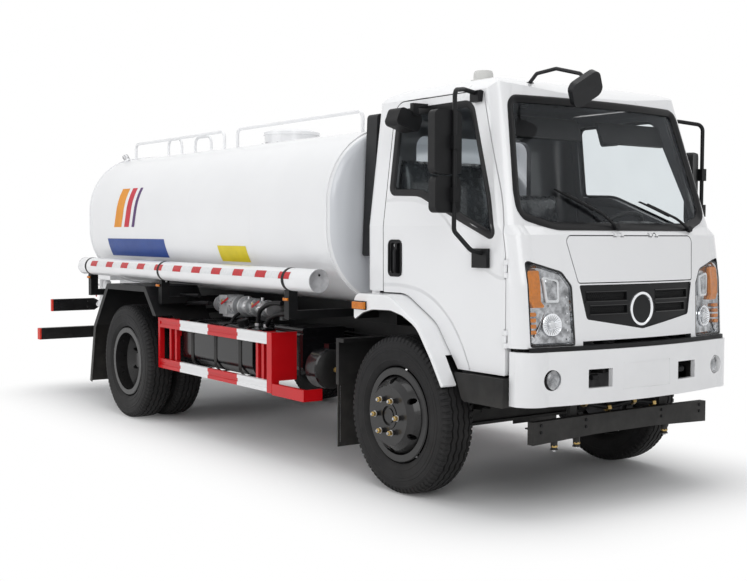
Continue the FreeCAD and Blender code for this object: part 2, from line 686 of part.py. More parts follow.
# ---- chassis fittings ----
def fuel_air_tanks():
    """Rounded fuel tank on the right, air reservoirs on both sides, all on brackets."""
    out = []
    x0, x1 = FUEL_X
    sec = [(-FUEL_OUT, 530), (-FUEL_OUT, 890), (-FUEL_OUT + 490, 890), (-FUEL_OUT + 490, 530)]
    out.append(slab_x(sec, [110, 110, 60, 60], x0, x1))
    for x in (x0 + 160, x1 - 160):
        y1 = -HALF_FRAME - SEAT
        out.append(box(x - 30, x + 30, -FUEL_OUT + 490 + SEAT, y1, RAIL_Z0 + 20, 900).fuse(
            box(x - 30, x + 30, -FUEL_OUT + 60, y1, 505, 530 - SEAT)).fuse(
            box(x - 30, x + 30, -FUEL_OUT + 490 + SEAT, y1, 505, 900)).removeSplitter())
    for s in (-1, 1):
        y = s * AIR_Y
        z = 662.0
        a, b = AIR_X
        body = cyl_x(138, a + 25, b - 25, y, z)
        caps = [Part.makeCone(138, 100, 25, V(b - 25, y, z), V(1, 0, 0)), Part.makeCone(138, 100, 25, V(a + 25, y, z), V(-1, 0, 0))]
        caps.append(cyl_x(14, b - 2, b + 22, y, z))
        ya = s * (HALF_FRAME + SEAT)
        arm = box((a + b) / 2 - 30, (a + b) / 2 + 30, min(ya, y), max(ya, y), 792, 830)
        out.append(fuse([body, arm] + caps))
    return out


FUEL_X = (REAR_AXLE_X + 790.0, -1690.0)
FUEL_OUT = 1050.0
AIR_Y = 850.0
AIR_X = (-1095.0, -930.0)
BATT_X = (-1590.0, -1222.0)


def battery_box():
    """Battery box on the right, plain tool box on the left."""
    out = []
    for s in (-1, 1):
        a, b = BATT_X
        y0, y1 = (560.0, 912.0)
        sec = [(s * y0, 640), (s * y0, 905), (s * y1, 905), (s * y1, 640)]
        body = slab_x(sec, [12, 12, 40, 12], a, b)
        lid = slab_x([(s * (y0 - 6), 890), (s * (y0 - 6), 925), (s * (y1 + 6), 925), (s * (y1 + 6), 890)], [8, 16, 16, 8], a - 6, b + 6)
        ya = s * (HALF_FRAME + SEAT)
        tray = box(a + 20, b - 20, min(ya, s * (y1 - 20)), max(ya, s * (y1 - 20)), 622, 640)
        back = box(a + 60, b - 60, min(ya, s * (HALF_FRAME + 14)), max(ya, s * (HALF_FRAME + 14)), 622, 900)
        out.append(fuse([body, lid, tray, back]))
    return out


def water_pump():
    """Pump and valve train along the right rail, above the fuel tank."""
    x0 = PUMP_X - 420
    x1 = PUMP_X + 420
    y = -730.0
    z = 1012.0
    parts = [cyl_x(40, x0, x1, y, z)]
    for x, r, t in ((x0, 66, 18), (x0 + 70, 58, 16), (x0 + 330, 82, 20), (x0 + 420, 82, 20), (x0 + 520, 72, 16),
                    (x0 + 600, 72, 16), (x1 - 90, 66, 16), (x1 - 18, 60, 18)):
        parts.append(cyl_x(r, x, x + t, y, z))
    parts.append(cyl_x(74, x0 + 100, x0 + 330, y, z))
    parts.append(box(x0 + 120, x0 + 250, y - 78, y + 78, z - 70, z + 80))
    parts.append(Part.makeSphere(62, V(x0 + 470, y, z)))
    parts.append(Part.makeSphere(58, V(x0 + 680, y, z)))
    parts.append(cyl_z(12, z, z + 82, x0 + 680, y))
    parts.append(cyl_z(12, z, z + 82, x0 + 470, y))
    parts.append(cyl_y(44, y, -HALF_FRAME - 60, x0 + 560, z - 20))
    bracket = box(x0 + 150, x0 + 330, y - 60, -HALF_FRAME - SEAT, z - 92, z - 66)
    foot = box(x0 + 150, x0 + 330, -HALF_FRAME - 14, -HALF_FRAME - SEAT, RAIL_Z0 + 60, z - 66)
    foot = foot.cut(box(x0, x1, -HALF_FRAME - SEAT, 0, 0, 2000))
    arm2 = box(x0 + 540, x0 + 580, -HALF_FRAME - 62, -HALF_FRAME - SEAT, FRAME_TOP - 60, z - 10)
    return fuse(parts + [bracket, foot, arm2])


PUMP_X = (REAR_AXLE_X + -1130.0) / 2 + 20.0


def front_spray_bar():
    """Black cross bar below the bumper, with its hangers and spray heads."""
    half = 752.0
    x = 880.0
    z0, z1 = 405.0, 545.0
    sec = [(-half, z0 + 6), (-half, z1 - 4), (-half * 0.35, z1), (half * 0.35, z1), (half, z1 - 4), (half, z0 + 6),
           (half * 0.35, z0 + 24), (-half * 0.35, z0 + 24)]
    bar = prism_x(sec, x, x + 46)
    back = prism_x([(-half + 8, z1 - 50), (-half + 8, z1 - 42), (half - 8, z1 - 42), (half - 8, z1 - 50)], x - 30, x)
    parts = [bar, back]
    for s in (-1, 1):
        y = s * (HALF_FRAME - 40)
        parts.append(box(x - 28, x + 0.1, y - 30, y + 30, z1 - 60, RAIL_Z0 - SEAT))
        parts.append(box(x - 28, x + 34, y - 30, y + 30, RAIL_Z0 - 12, RAIL_Z0 - SEAT))
    for y in (-565.0, -385.0, 385.0):
        parts.append(cyl_z(20, z0 - 16, z0 + 40, x + 22, y))
        parts.append(Part.makeCone(12, 24, 22, V(x + 22, y, z0 - 16), V(0, 0, -1)))
    return fuse(parts)


def mudguard_band(pts, t):
    """Open plate following pts at constant thickness, as a closed XZ outline."""
    inner = []
    for i in range(len(pts)):
        px, pz = pts[i]
        ax, az = pts[max(0, i - 1)]
        bx, bz = pts[min(len(pts) - 1, i + 1)]
        d1 = V(px - ax, 0, pz - az)
        d2 = V(bx - px, 0, bz - pz)
        if d1.Length == 0:
            d1 = d2
        if d2.Length == 0:
            d2 = d1
        d1.normalize()
        d2.normalize()
        n = V(d1.z + d2.z, 0, -(d1.x + d2.x))
        n.normalize()
        c = max(0.3, n.dot(V(d1.z, 0, -d1.x)))
        inner.append((px + n.x * t / c, pz + n.z * t / c))
    return pts + inner[::-1]


def mudguards():
    out = []
    x = REAR_AXLE_X
    k = TYRE_R / 487.0
    line_pts = [(x - 812, 235), (x - 705, 754 * k), (x - 400, 1140 * k), (x + 400, 1146 * k), (x + 712, 800 * k)]
    for s in (-1, 1):
        y_in = s * (INNER_DUAL_Y - TYRE_W / 2 + 30)
        y_out = s * (REAR_OUTER_Y - 4)
        band = prism_y(mudguard_band(line_pts, 8.0), min(y_in, y_out), max(y_in, y_out))
        lip = prism_y(mudguard_band(line_pts, 46.0), min(y_out - s * 6, y_out), max(y_out - s * 6, y_out))
        top = 1140.0 * k
        a = s * (HALF_FRAME + SEAT)
        b = y_in + s * 60
        stay = box(x - 330, x - 290, min(a, b), max(a, b), 900, 940)
        stay2 = box(x + 290, x + 330, min(a, b), max(a, b), 900, 940)
        up = box(x - 330, x - 290, min(b, b - s * 30), max(b, b - s * 30), 900, top - 3)
        up2 = box(x + 290, x + 330, min(b, b - s * 30), max(b, b - s * 30), 900, top - 3)
        yg = s * (GUARD_Y - 82)
        yh = s * (REAR_OUTER_Y + 20)
        notch = box(x + TYRE_R + 10, x + 900, min(yg, yh), max(yg, yh), 0, 912)
        out.append(fuse([band, lip]).cut(notch))
        out.append(fuse([stay, up]).cut(band.fuse(lip)))
        out.append(fuse([stay2, up2]).cut(band.fuse(lip)))
    for s in (-1, 1):
        fx = FLAP_X
        y0 = s * 560
        y1 = s * 1005
        flap = box(fx - 8, fx, min(y0, y1), max(y0, y1), 190, 640)
        hold = box(fx - 26, fx + 6, min(y0, y1), max(y0, y1), 600, 900)
        hold = hold.fuse(box(fx - 26, fx + 60, min(y0, y1), max(y0, y1), 880, 905))
        a = s * (HALF_FRAME + SEAT)
        arm = box(fx - 24, fx + 4, min(a, y0), max(a, y0), 800, 850)
        out.append(fuse([flap, hold, arm]))
    return out


FLAP_X = -640.0


def side_guards():
    """Red and white guard frame on both sides, with front end plates."""
    out = []
    x0 = REAR_AXLE_X + TYRE_R + 50.0
    x1 = GUARD_FRONT
    yo = GUARD_Y
    for s in (-1, 1):
        def b(xa, xb, ya, yb, za, zb):
            return box(xa, xb, min(s * ya, s * yb), max(s * ya, s * yb), za, zb)
        parts = []
        for z0, z1 in ((816, 894), (481, 559)):
            rail = b(x0, x1, yo - 30, yo, z0, z1)
            mid = (z0 + z1) / 2
            rail = rail.cut(b(x0 - 5, x1 + 5, yo - 7, yo + 5, mid - 13, mid + 13))
            rail = rail.cut(b(x0 - 5, x1 + 5, yo - 40, yo - 16, z0 + 8, z1 - 8))
            parts.append(rail)
        parts.append(b(x0 - 34, x0, yo - 40, yo, 481, 894))
        parts.append(b(x1, x1 + 66, yo - 60, yo + 2, 476, 900))
        parts.append(b(x1 + 58, x1 + 66, yo - 205, yo - 2, 560, 900))
        for xm in (x0 + 130, x0 + 230, x1 - 190, x1 - 110):
            parts.append(b(xm - 16, xm + 16, yo - 62, yo - 30, 481, 894))
        parts.append(b(x1 + 66, x1 + 470, yo - 30, yo, 466, 545))
        parts.append(b(x1 + 470, x1 + 480, yo - 150, yo, 466, 545))
        for xm in (x0 + 180, x1 - 150):
            parts.append(b(xm - 70, xm + 70, yo - 74, yo - 62, 760, 800))
        for xm in (FUEL_X[0] - 45, FUEL_X[1] + 50):
            parts.append(b(xm - 55, xm + 55, yo - 42, yo - 30, 816, 894))
            parts.append(b(xm - 15, xm + 15, HALF_FRAME + SEAT, yo - 36, 835, 875))
        out.append(fuse(parts))
    return out


GUARD_FRONT = -1346.0
GUARD_Y = 1130.0


def rear_bars():
    """Rear lamp board and under-run bar with their hangers."""
    out = []
    xr = REAR_X
    bar = box(xr, xr + 70, -REAR_OUTER_Y, REAR_OUTER_Y, 505, 620)
    parts = [bar]
    for s in (-1, 1):
        y = s * (HALF_FRAME - 35)
        parts.append(box(xr + 66, xr + 250, y - 6, y + 6, 520, 600))
        parts.append(box(xr + 240 - 60, xr + 250, y - 6, y + 6, 560, RAIL_Z0 + 60))
    hang = fuse(parts)
    hang = hang.cut(frame_rails_cut())
    out.append(hang)
    lamp_half = REAR_OUTER_Y - 67
    x = xr + 200
    wide = 690.0
    prof = [(-lamp_half, 800), (-lamp_half, 920), (-wide, 920), (-wide + 60, 886), (wide - 60, 886), (wide, 920),
            (lamp_half, 920), (lamp_half, 800), (wide, 800), (wide - 60, 838), (-wide + 60, 838), (-wide, 800)]
    board = prism_x(prof, x, x + 36)
    sy, sz, hr = LAMP_HOLES
    for s in (-1, 1):
        yc = s * (lamp_half + wide) / 2
        for dy in (-sy / 2, sy / 2):
            for dz in (-sz / 2, sz / 2):
                board = board.cut(cyl_x(hr, x - 5, x + 45, yc + dy, 860 + dz))
    out.append(board.fuse(box(x + 36, FRAME_REAR - SEAT, -HALF_FRAME, HALF_FRAME, 838, 886)) if FRAME_REAR - SEAT > x + 36 else board)
    return out


def frame_rails_cut():
    cuts = []
    for s in (-1, 1):
        a = s * (HALF_FRAME + SEAT)
        b = s * (HALF_FRAME - 70 - SEAT)
        cuts.append(box(FRAME_REAR - SEAT, FRAME_FRONT, min(a, b), max(a, b), RAIL_Z0 - SEAT, FRAME_TOP + SEAT))
    return cuts[0].fuse(cuts[1])


def rear_spray_rig():
    """White rear deck and the spray pipes that hang from it."""
    x0 = FRAME_REAR + 30
    x1 = TANK_REAR - 220
    deck = box(x0, x1, -770, 770, 1126, 1186).cut(box(x0 + 8, x1 - 8, -762, 762, 1100, 1178))
    parts = [deck]
    for s in (-1, 1):
        a = s * HALF_FRAME
        b = s * (HALF_FRAME - 70)
        parts.append(box(x0 + 10, x1 - 10, min(a, b), max(a, b), FRAME_TOP + SEAT, 1180))
    for s in (-1, 1):
        y = s * 640.0
        x = x0 + 60
        parts.append(cyl_z(30, 660, 1130, x, y))
        parts.append(cyl_z(46, 660, 690, x, y))
        parts.append(cyl_z(44, 1050, 1070, x, y))
        parts.append(cyl_z(40, 1000, 1100, x + 120, y))
        parts.append(cyl_z(30, 980, 1178, x + 120, y))
        parts.append(cyl_x(14, x, x + 120, y, 1010))
    body = fuse(parts)
    for s in (-1, 1):
        body = body.cut(cyl_z(OUTLET_R, 650, 660 + OUTLET_DEPTH, x0 + 60, s * 640.0))
    return body


OUTLET_R = 25.0
OUTLET_DEPTH = 60.0
LAMP_HOLES = (300.0, 60.0, 5.5)


# ---- bumper ----
BUMPER_Z0 = 640.0
BUMPER_Z1 = 942.0
BUMPER_T = 30.0


def plan_block(face, half, depth, span, z0, z1):
    """Solid with a bowed front, rounded front corners and straight sides."""
    yc = half - span
    s = yc * yc / (2 * CAB_BOW_R)
    a = V(face - s, yc, z0)
    b = V(face - s - 0.29 * depth, yc + 0.71 * span, z0)
    c = V(face - s - depth, half, z0)
    d = V(face - 700, half, z0)

    def m(v):
        return V(v.x, -v.y, v.z)
    edges = [arc(m(a), V(face, 0, z0), a), arc(a, b, c), line(c, d), line(d, m(d)), line(m(d), m(c)), arc(m(c), m(b), m(a))]
    return Part.Face(Part.Wire(edges)).extrude(V(0, 0, z1 - z0))


def front_bumper():
    """Painted bumper: wrapped band with tow windows, fog lamp pockets and a bare plate recess."""
    half = HALF_CAB - 5
    rear = BUMPER_FACE - 219.0
    outer = plan_block(BUMPER_FACE, half, 100.0, 160.0, BUMPER_Z0, BUMPER_Z1)
    t = BUMPER_T
    inner = plan_block(BUMPER_FACE - t, half - t, 100.0 - 0.3 * t, 160.0 - 0.3 * t, BUMPER_Z0 - 5, BUMPER_Z1 + 5)
    band = outer.cut(inner).cut(box(-500, rear, -2000, 2000, 0, 2000))
    shelf = outer.common(box(BUMPER_FACE - 75, BUMPER_FACE, -244, 244, BUMPER_Z1 - 56, BUMPER_Z1 - 44))
    band = band.fuse(shelf)
    cuts = []
    for s in (-1, 1):
        a, b = s * 285, s * 462
        cuts.append(box(BUMPER_FACE - 160, BUMPER_FACE + 20, min(a, b), max(a, b), 728, 834))
        cuts.append(Part.makeCylinder(58, 120, V(BUMPER_FACE - 122, s * 684, 786), V(1, s * 0.42, 0)))
    cuts.append(box(BUMPER_FACE - 7, BUMPER_FACE + 20, -200, 200, 706, 858))
    return fuse([band.cut(cuts)])


# ---- cab ----
LEVELS = [(800.0, 1143.0, 890.0), (1314.0, 1115.0, 893.0), (1588.0, 1069.0, 895.0), (1640.0, 1015.0, 895.0),
          (2600.0, 731.0, 778.0)]


CORNER_SPAN = 120.0
CORNER_DEPTH = 85.0
CAB_BOW_R = 3700.0


def cab_section(z, front, half, inset):
    """Plan section of the cab at height z: bowed front, rounded corners, flat sides."""
    xf = front + (CAB_FACE - 1115.0) - inset
    w = half + CAB_DY - inset
    xr = CAB_REAR + inset
    yc = w - CORNER_SPAN
    s = yc * yc / (2 * CAB_BOW_R)
    rr = 60.0
    f = V(xf, 0, z)
    a = V(xf - s, yc, z)
    b = V(xf - s - 0.29 * CORNER_DEPTH, yc + 0.71 * CORNER_SPAN, z)
    c = V(xf - s - CORNER_DEPTH, w, z)
    d = V(xr + rr, w, z)
    e = V(xr + 0.293 * rr, w - 0.293 * rr, z)
    g = V(xr, w - rr, z)

    def m(v):
        return V(v.x, -v.y, v.z)
    edges = [arc(m(a), f, a), arc(a, b, c), line(c, d), arc(d, e, g), line(g, m(g)), arc(m(g), m(e), m(d)),
             line(m(d), m(c)), arc(m(c), m(b), m(a))]
    return Part.Wire(edges)


def cab_solid(inset, roof_drop):
    wires = []
    for z, front, half in LEVELS:
        wires.append(cab_section(z, front, half, inset))
    body = Part.makeLoft(wires, True, True)
    r = CAB_REAR + inset
    d = roof_drop
    top = [line(V(r, -1400, 700), V(r, -1400, 2318 - d)), arc(V(r, -1400, 2318 - d), V(r + 42, -1400, 2441 - d), V(r + 145, -1400, 2501 - d)),
           arc(V(r + 145, -1400, 2501 - d), V(138, -1400, 2555 - d), V(558, -1400, 2511 - d)),
           arc(V(558, -1400, 2511 - d), V(700, -1400, 2464 - d), V(812 + CAB_FACE - 1115.0 - inset, -1400, 2388 - d)),
           line(V(812 + CAB_FACE - 1115.0 - inset, -1400, 2388 - d), V(1500, -1400, 2388 - d)), line(V(1500, -1400, 2388 - d), V(1500, -1400, 700)),
           line(V(1500, -1400, 700), V(r, -1400, 700))]
    side = Part.Face(Part.Wire(top)).extrude(V(0, 2800, 0))
    w = CAB_DY - inset
    e1 = V(-1500, 842 + w, 2349 - d)
    e2 = V(-1500, 763 + w, 2461 - d)
    e3 = V(-1500, 595 + w, 2512 - d)

    def m(v):
        return V(v.x, -v.y, v.z)
    crown = [line(V(-1500, 842 + w, 700), e1), arc(e1, e2, e3), arc(e3, V(-1500, 0, 2566 - d), m(e3)), arc(m(e3), m(e2), m(e1)),
             line(m(e1), V(-1500, -842 - w, 700)), line(V(-1500, -842 - w, 700), V(-1500, 842 + w, 700))]
    low = box(-1500, 2000, -1100, 1100, 600, 2349 - d)
    crown_solid = Part.Face(Part.Wire(crown)).extrude(V(3500, 0, 0)).fuse(low)
    return body.common(side).common(crown_solid)


def cab_shell():
    return cab_solid(0.0, 0.0).cut(cab_solid(DOOR_T, 40.0))


DOOR_PTS = [(DOOR_FRONT, DOOR_BOTTOM), (DOOR_FRONT, 1490.0), (DOOR_FRONT - 70, 1790.0), (DOOR_FRONT - 306, DOOR_TOP),
            (DOOR_REAR, DOOR_TOP), (DOOR_REAR, 1222.0), (ARCH_X - 58.0, 1225.0), (ARCH_X + 241.0, 1062.0),
            (ARCH_X + 383.0, 876.0), (ARCH_X + 436.0, DOOR_BOTTOM)]
DOOR_RADII = [8, 900, 1500, 40, 90, 12, 260, 250, 120, 12]
WINDOW_PTS = [(DOOR_FRONT - 106, 1577.0), (DOOR_FRONT - 170, 1797.0), (DOOR_FRONT - 400, 2348.0), (DOOR_REAR + 52, 2348.0),
              (DOOR_REAR + 52, 1853.0), (DOOR_REAR + 338, 1843.0)]
WINDOW_RADII = [16, 900, 90, 60, 40, 300]
SCREEN_PTS = [(-577, 1640), (-784, 1700), (-780, 1830), (-702, 2366), (702, 2366), (780, 1830), (784, 1700), (577, 1640)]
SCREEN_RADII = [260, 130, 300, 60, 60, 300, 130, 260]


def door_prism(side, grow):
    pts = DOOR_PTS
    face = rounded_wire(pts, DOOR_RADII, lambda a, b: V(a, 0, b))
    wire = face
    if grow > 0:
        wire = face.makeOffset2D(grow)
    solid = Part.Face(wire).extrude(V(0, side * 1400, 0))
    return solid


def screen_prism(grow):
    wire = rounded_wire(SCREEN_PTS, SCREEN_RADII, lambda a, b: V(400, a, b))
    if grow != 0:
        wire = wire.makeOffset2D(grow)
    return Part.Face(wire).extrude(V(1200, 0, 0))


def window_prism(side, grow):
    wire = rounded_wire(WINDOW_PTS, WINDOW_RADII, lambda a, b: V(a, 0, b))
    if grow != 0:
        wire = wire.makeOffset2D(grow)
    return Part.Face(wire).extrude(V(0, side * 1400, 0))


def rear_window_prism(grow):
    g = grow
    pts = [(-520 - g, 1660 - g), (-520 - g, 2240 + g), (520 + g, 2240 + g), (520 + g, 1660 - g)]
    return slab_x(pts, [80, 80, 80, 80], CAB_REAR - 60, CAB_REAR + 120)



PANEL_BOTTOM = 990.0
PANEL_STEP = 28.0
PANEL_STEP_Y = 470.0
ROOF_SEAM = DOOR_TOP + DOOR_GAP + 1.0
FLAP_TOP = 1582.0
FLAP_PTS = [(-488, 1320), (488, 1320), (547, FLAP_TOP), (-547, FLAP_TOP)]
FLAP_RADII = [14, 14, 34, 34]
FLAP_AXIS = (1067.0, 1589.0)
FLAP_PIN_R = 4.5
FLAP_PIN_PLAY = 0.35
FLARE_TOP = [(-425, 1213), (-60, 1216), (235, 1055), (375, 870), (470, 716)]
FLARE_RADII = [60, 260, 250, 400, 8]
FLARE_T = 14.0
FLARE_TIP_Y = 930.0
STEP_FRONT = 866.0
STEP_BOTTOM = 628.0
STEP_OUT_Y = 930.0
GRILLE_PTS = [(-486, 1306), (-438, 1112), (0, 1044), (438, 1112), (486, 1306)]
GRILLE_RADII = [10, 24, 60, 24, 10]
LAMP_PTS = [(823, 968), (835, 1452), (596, 1384), (535, 1300), (521, 968)]
LAMP_RADII = [16, 22, 60, 40, 16]
HINGE_X = DOOR_FRONT + 4.0
HINGE_Z = (1010.0, 1400.0)
HINGE_R = 10.0
HINGE_PIN_R = 6.0


def front_prism(points, radii, grow=0.0):
    wire = rounded_wire(points, radii, lambda a, b: V(700, a, b))
    if grow != 0:
        wire = wire.makeOffset2D(grow)
    return Part.Face(wire).extrude(V(800, 0, 0))


def lamp_prism(side, grow=0.0):
    pts = [(side * y, z) for y, z in LAMP_PTS]
    return front_prism(pts, LAMP_RADII, grow)


def arch_zone():
    """Space of the wheel arch and flare, kept clear of the cab's own panels."""
    out = []
    for s in (-1, 1):
        a, b = s * (HALF_CAB - DOOR_T - 6), s * 1300
        out.append(box(CAB_REAR - 50, DOOR_REAR - DOOR_GAP + 0.5, min(a, b), max(a, b), 700, 1228))
        out.append(box(DOOR_REAR - DOOR_GAP, ARCH_X + 566, min(a, b) - 40 * (s < 0), max(a, b) + 40 * (s > 0), 700, 1270))
    return out


def cab_rear_wall(shell):
    part = shell.common(box(CAB_REAR - 10, -100, -1200, 1200, FLOOR_Z, ROOF_SEAM))
    part = part.cut(door_cut())
    part = part.cut(arch_zone())
    return part.cut(rear_window_prism(0))


def cab_roof(shell):
    return shell.common(box(-800, 1500, -1200, 1200, ROOF_SEAM, 2700))


def door_cut():
    return [door_prism(-1, DOOR_GAP), door_prism(1, DOOR_GAP)]


def cab_front(shell):
    part = shell.common(box(100, 1500, -1200, 1200, PANEL_BOTTOM - PANEL_STEP, ROOF_SEAM))
    part = part.cut(box(100, 1500, -PANEL_STEP_Y, PANEL_STEP_Y, 0, PANEL_BOTTOM))
    part = part.cut(door_cut())
    part = part.cut(arch_zone())
    part = part.cut(screen_prism(0))
    part = part.cut(front_prism(FLAP_PTS, FLAP_RADII, DOOR_GAP))
    part = part.cut(front_prism(GRILLE_PTS, GRILLE_RADII))
    part = part.cut([lamp_prism(-1), lamp_prism(1)])
    lugs = []
    notches = []
    for s in (-1, 1):
        y = s * (HALF_CAB + 2)
        for z in HINGE_Z:
            notches.append(cyl_z(HINGE_R + 6, z - 26, z + 26, HINGE_X, y))
            for z0, z1 in ((z - 50, z - 21), (z + 21, z + 50)):
                lugs.append(cyl_z(HINGE_R, z0, z1, HINGE_X, y))
                ya, yb = s * (HALF_CAB - 18), s * (HALF_CAB + 6)
                lugs.append(box(HINGE_X, HINGE_X + 16, min(ya, yb), max(ya, yb), z0, z1))
            lugs.append(cyl_z(HINGE_PIN_R, z - 40, z + 40, HINGE_X, y))
    part = part.cut(notches).fuse(lugs)
    xa, za = FLAP_AXIS
    more = []
    cuts = []
    for y in (-150, 150):
        cuts.append(cyl_y(14, y - 21, y + 21, xa, za))
        for y0, y1 in ((y - 38, y - 17), (y + 17, y + 38)):
            more.append(cyl_y(8, y0, y1, xa, za))
            more.append(box(xa - 16, xa, y0, y1, za, za + 14))
        more.append(cyl_y(FLAP_PIN_R, y - 30, y + 30, xa, za))
    return fuse([part.cut(cuts).fuse(more)])


def front_flap(skin):
    part = skin.common(front_prism(FLAP_PTS, FLAP_RADII))
    xa, za = FLAP_AXIS
    more = []
    cuts = []
    for y in (-150, 150):
        for y0, y1 in ((y - 44, y - 13), (y + 13, y + 44)):
            cuts.append(cyl_y(14, y0, y1, xa, za))
        more.append(cyl_y(8, y - 12, y + 12, xa, za))
        more.append(box(xa - 13, xa, y - 12, y + 12, za - 26, za))
    part = part.cut(cuts).fuse(more)
    return fuse([part.cut(cyl_y(FLAP_PIN_R + FLAP_PIN_PLAY, -200, 200, xa, za))])


def cab_glass(pane):
    screen = pane.common(screen_prism(-SEAT))
    rear = rear_window_prism(-SEAT).common(box(CAB_REAR + 14, CAB_REAR + 20, -900, 900, 1000, 2400))
    return [screen, rear]


def grille():
    outer = cab_solid(7.0, 5.0)
    body = outer.cut(cab_solid(38.0, 30.0)).common(front_prism(GRILLE_PTS, GRILLE_RADII, -SEAT))
    slots = []
    for z0, z1, w0, w1 in ((1216, 1262, 438, 121), (1142, 1184, 410, 121)):
        for s in (-1, 1):
            a, b = s * w1, s * w0
            slots.append(box(800, 1300, min(a, b), max(a, b), z0, z1))
    body = body.cut(slots)
    backing = cab_solid(30.0, 30.0).cut(cab_solid(38.0, 30.0)).common(box(700, 1300, -452, 452, 1134, 1270))
    ring = cyl_x(98, 1060, 1118, 0, 1160).cut(cyl_x(80, 1000, 1130, 0, 1160))
    boss = cyl_x(98, 1060, 1100, 0, 1160)
    return fuse([body, backing.common(front_prism(GRILLE_PTS, GRILLE_RADII, -SEAT)), boss, ring])


def headlamps():
    out = []
    solid = cab_solid(2.0, 5.0).cut(cab_solid(DOOR_T - 5, 30.0))
    for s in (-1, 1):
        out.append(solid.common(lamp_prism(s, -SEAT)))
    return out


def door(side, shell, name_glass=False):
    part = shell.common(door_prism(side, 0)).common(box(-900, 1300, -1200, 1200, DOOR_BOTTOM, 2500))
    part = part.cut(window_prism(side, 0))
    y = side * (HALF_CAB + 2)
    cuts = []
    more = []
    for z in HINGE_Z:
        cuts.append(cyl_z(HINGE_R + 6, z - 56, z + 56, HINGE_X, y))
        more.append(cyl_z(HINGE_R, z - 19, z + 19, HINGE_X, y))
        ya, yb = side * (HALF_CAB - 10), side * (HALF_CAB + 8)
        more.append(box(HINGE_X - 22, HINGE_X, min(ya, yb), max(ya, yb), z - 19, z + 19))
    part = fuse([part.cut(cuts).fuse(more)])
    part = part.cut(cyl_z(HINGE_PIN_R + RUN, 900, 1500, HINGE_X, y))
    ha, hb = side * (HALF_CAB - 22), side * (HALF_CAB + 40)
    pocket = box(HANDLE_X - HANDLE_HALF, HANDLE_X + HANDLE_HALF, min(ha, hb), max(ha, hb), HANDLE_Z - 105, HANDLE_Z + 105)
    return part.cut(pocket)


HANDLE_X = -95.0
HANDLE_HALF = 64.0
HANDLE_Z = 1439.0


def door_glass(side, pane):
    return pane.common(window_prism(side, -SEAT))


LEFT_MIRROR_Y = 1092.0
RIGHT_MIRROR_Y = 1065.0
RIGHT_HEAD_OUT = 31.0
LEFT_MIRROR_DROP = 68.0
LEFT_MIRROR_TURN = 28.0
RIGHT_HEADS = ((1925, 2282, 98, 60), (1709, 1914, 92, 50))
LEFT_HEADS = ((1852, 2132, 98, 60), (1672, 1834, 84, 50))


def door_mirrors(side):
    """Two rear-view heads on one bowed arm, kerb mirror above the window, and the door handle."""
    y0 = side * (HALF_CAB + 1)
    left = side > 0
    ym = side * (LEFT_MIRROR_Y if left else RIGHT_MIRROR_Y)
    top = 2391 - (LEFT_MIRROR_DROP if left else 0.0)
    foot = V(728, side * (HALF_CAB - 2), 1486)
    arm = [V(MIRROR_X + 70, y0, 1480), V(MIRROR_X + 62, ym - side * (47.0 if left else 75.0), 1498), V(MIRROR_X, ym, 1608), V(MIRROR_X, ym, top),
           V(MIRROR_X - 80, side * 935.0, top + 22), V(MIRROR_X - 92, side * 820.0, top + 7)]
    bar = pipe(arm, 13, 45)
    parts = [bar]
    parts.append(box(MIRROR_X - 14, MIRROR_X + 112, min(y0, y0 + side * 26), max(y0, y0 + side * 26), 1400, 1510))
    ya, yb = side * 790.0, side * 845.0
    parts.append(box(MIRROR_X - 130, MIRROR_X - 60, min(ya, yb), max(ya, yb), top - 41, top + 21))
    heads = LEFT_HEADS if left else RIGHT_HEADS
    for z0, z1, half, t in heads:
        zc = (z0 + z1) / 2
        yc = ym - side * (16 + half) if left else ym + side * RIGHT_HEAD_OUT
        sec = [(yc - half, z0), (yc + half, z0), (yc + half, z1), (yc - half, z1)]
        head = slab_x(sec, [34, 34, 34, 34], MIRROR_X - 76, MIRROR_X - 16)
        if left:
            head.rotate(V(MIRROR_X - 20, ym - 20, zc), V(0, 0, 1), LEFT_MIRROR_TURN)
        parts.append(head)
        parts.append(box(MIRROR_X - 30, MIRROR_X + 20, ym - 22, ym + 22, zc - 40, zc + 40))
    kx = KERB_X
    kz = 2290.0
    ka, kb = side * 876.0, side * 1065.0
    kerb = slab_x([(side * 842.0, kz - 55), (side * 842.0, kz + 52), (side * 1020.0, kz + 40), (side * 1020.0, kz - 75)], [30, 30, 30, 30], kx - 62, kx + 62)
    tilt = V(kx, side * 935.0, kz)
    kerb.rotate(tilt, V(1, 0, 0), side * 22)
    parts.append(kerb)
    parts.append(box(kx + 40, kx + 74, min(side * 800.0, side * 917.0), max(side * 800.0, side * 917.0), 2358, 2382))
    parts.append(box(kx + 40, kx + 74, min(side * 877.0, side * 917.0), max(side * 877.0, side * 917.0), kz + 20, 2382))
    skin = cab_solid(-SEAT, -SEAT)
    out = fuse(parts).cut(skin)
    ha, hb = side * (HALF_CAB - 22), side * (HALF_CAB + 3)
    ha = side * (HALF_CAB - 22 + SEAT)
    handle = box(HANDLE_X - HANDLE_HALF + SEAT, HANDLE_X + HANDLE_HALF - SEAT, min(ha, hb), max(ha, hb), HANDLE_Z - 105 + SEAT, HANDLE_Z + 105 - SEAT)
    hc = side * (HALF_CAB - 16)
    handle = handle.cut(box(HANDLE_X - HANDLE_HALF + 8, HANDLE_X + HANDLE_HALF - 8, min(hc, side * 1100), max(hc, side * 1100), HANDLE_Z - 95, HANDLE_Z + 95))
    pull = box(HANDLE_X - 2, HANDLE_X + 20, min(hc, hb), max(hc, hb), HANDLE_Z - 96, HANDLE_Z + 96)
    return [out, fuse([handle, pull])]


MIRROR_X = 677.0
KERB_X = 39.0


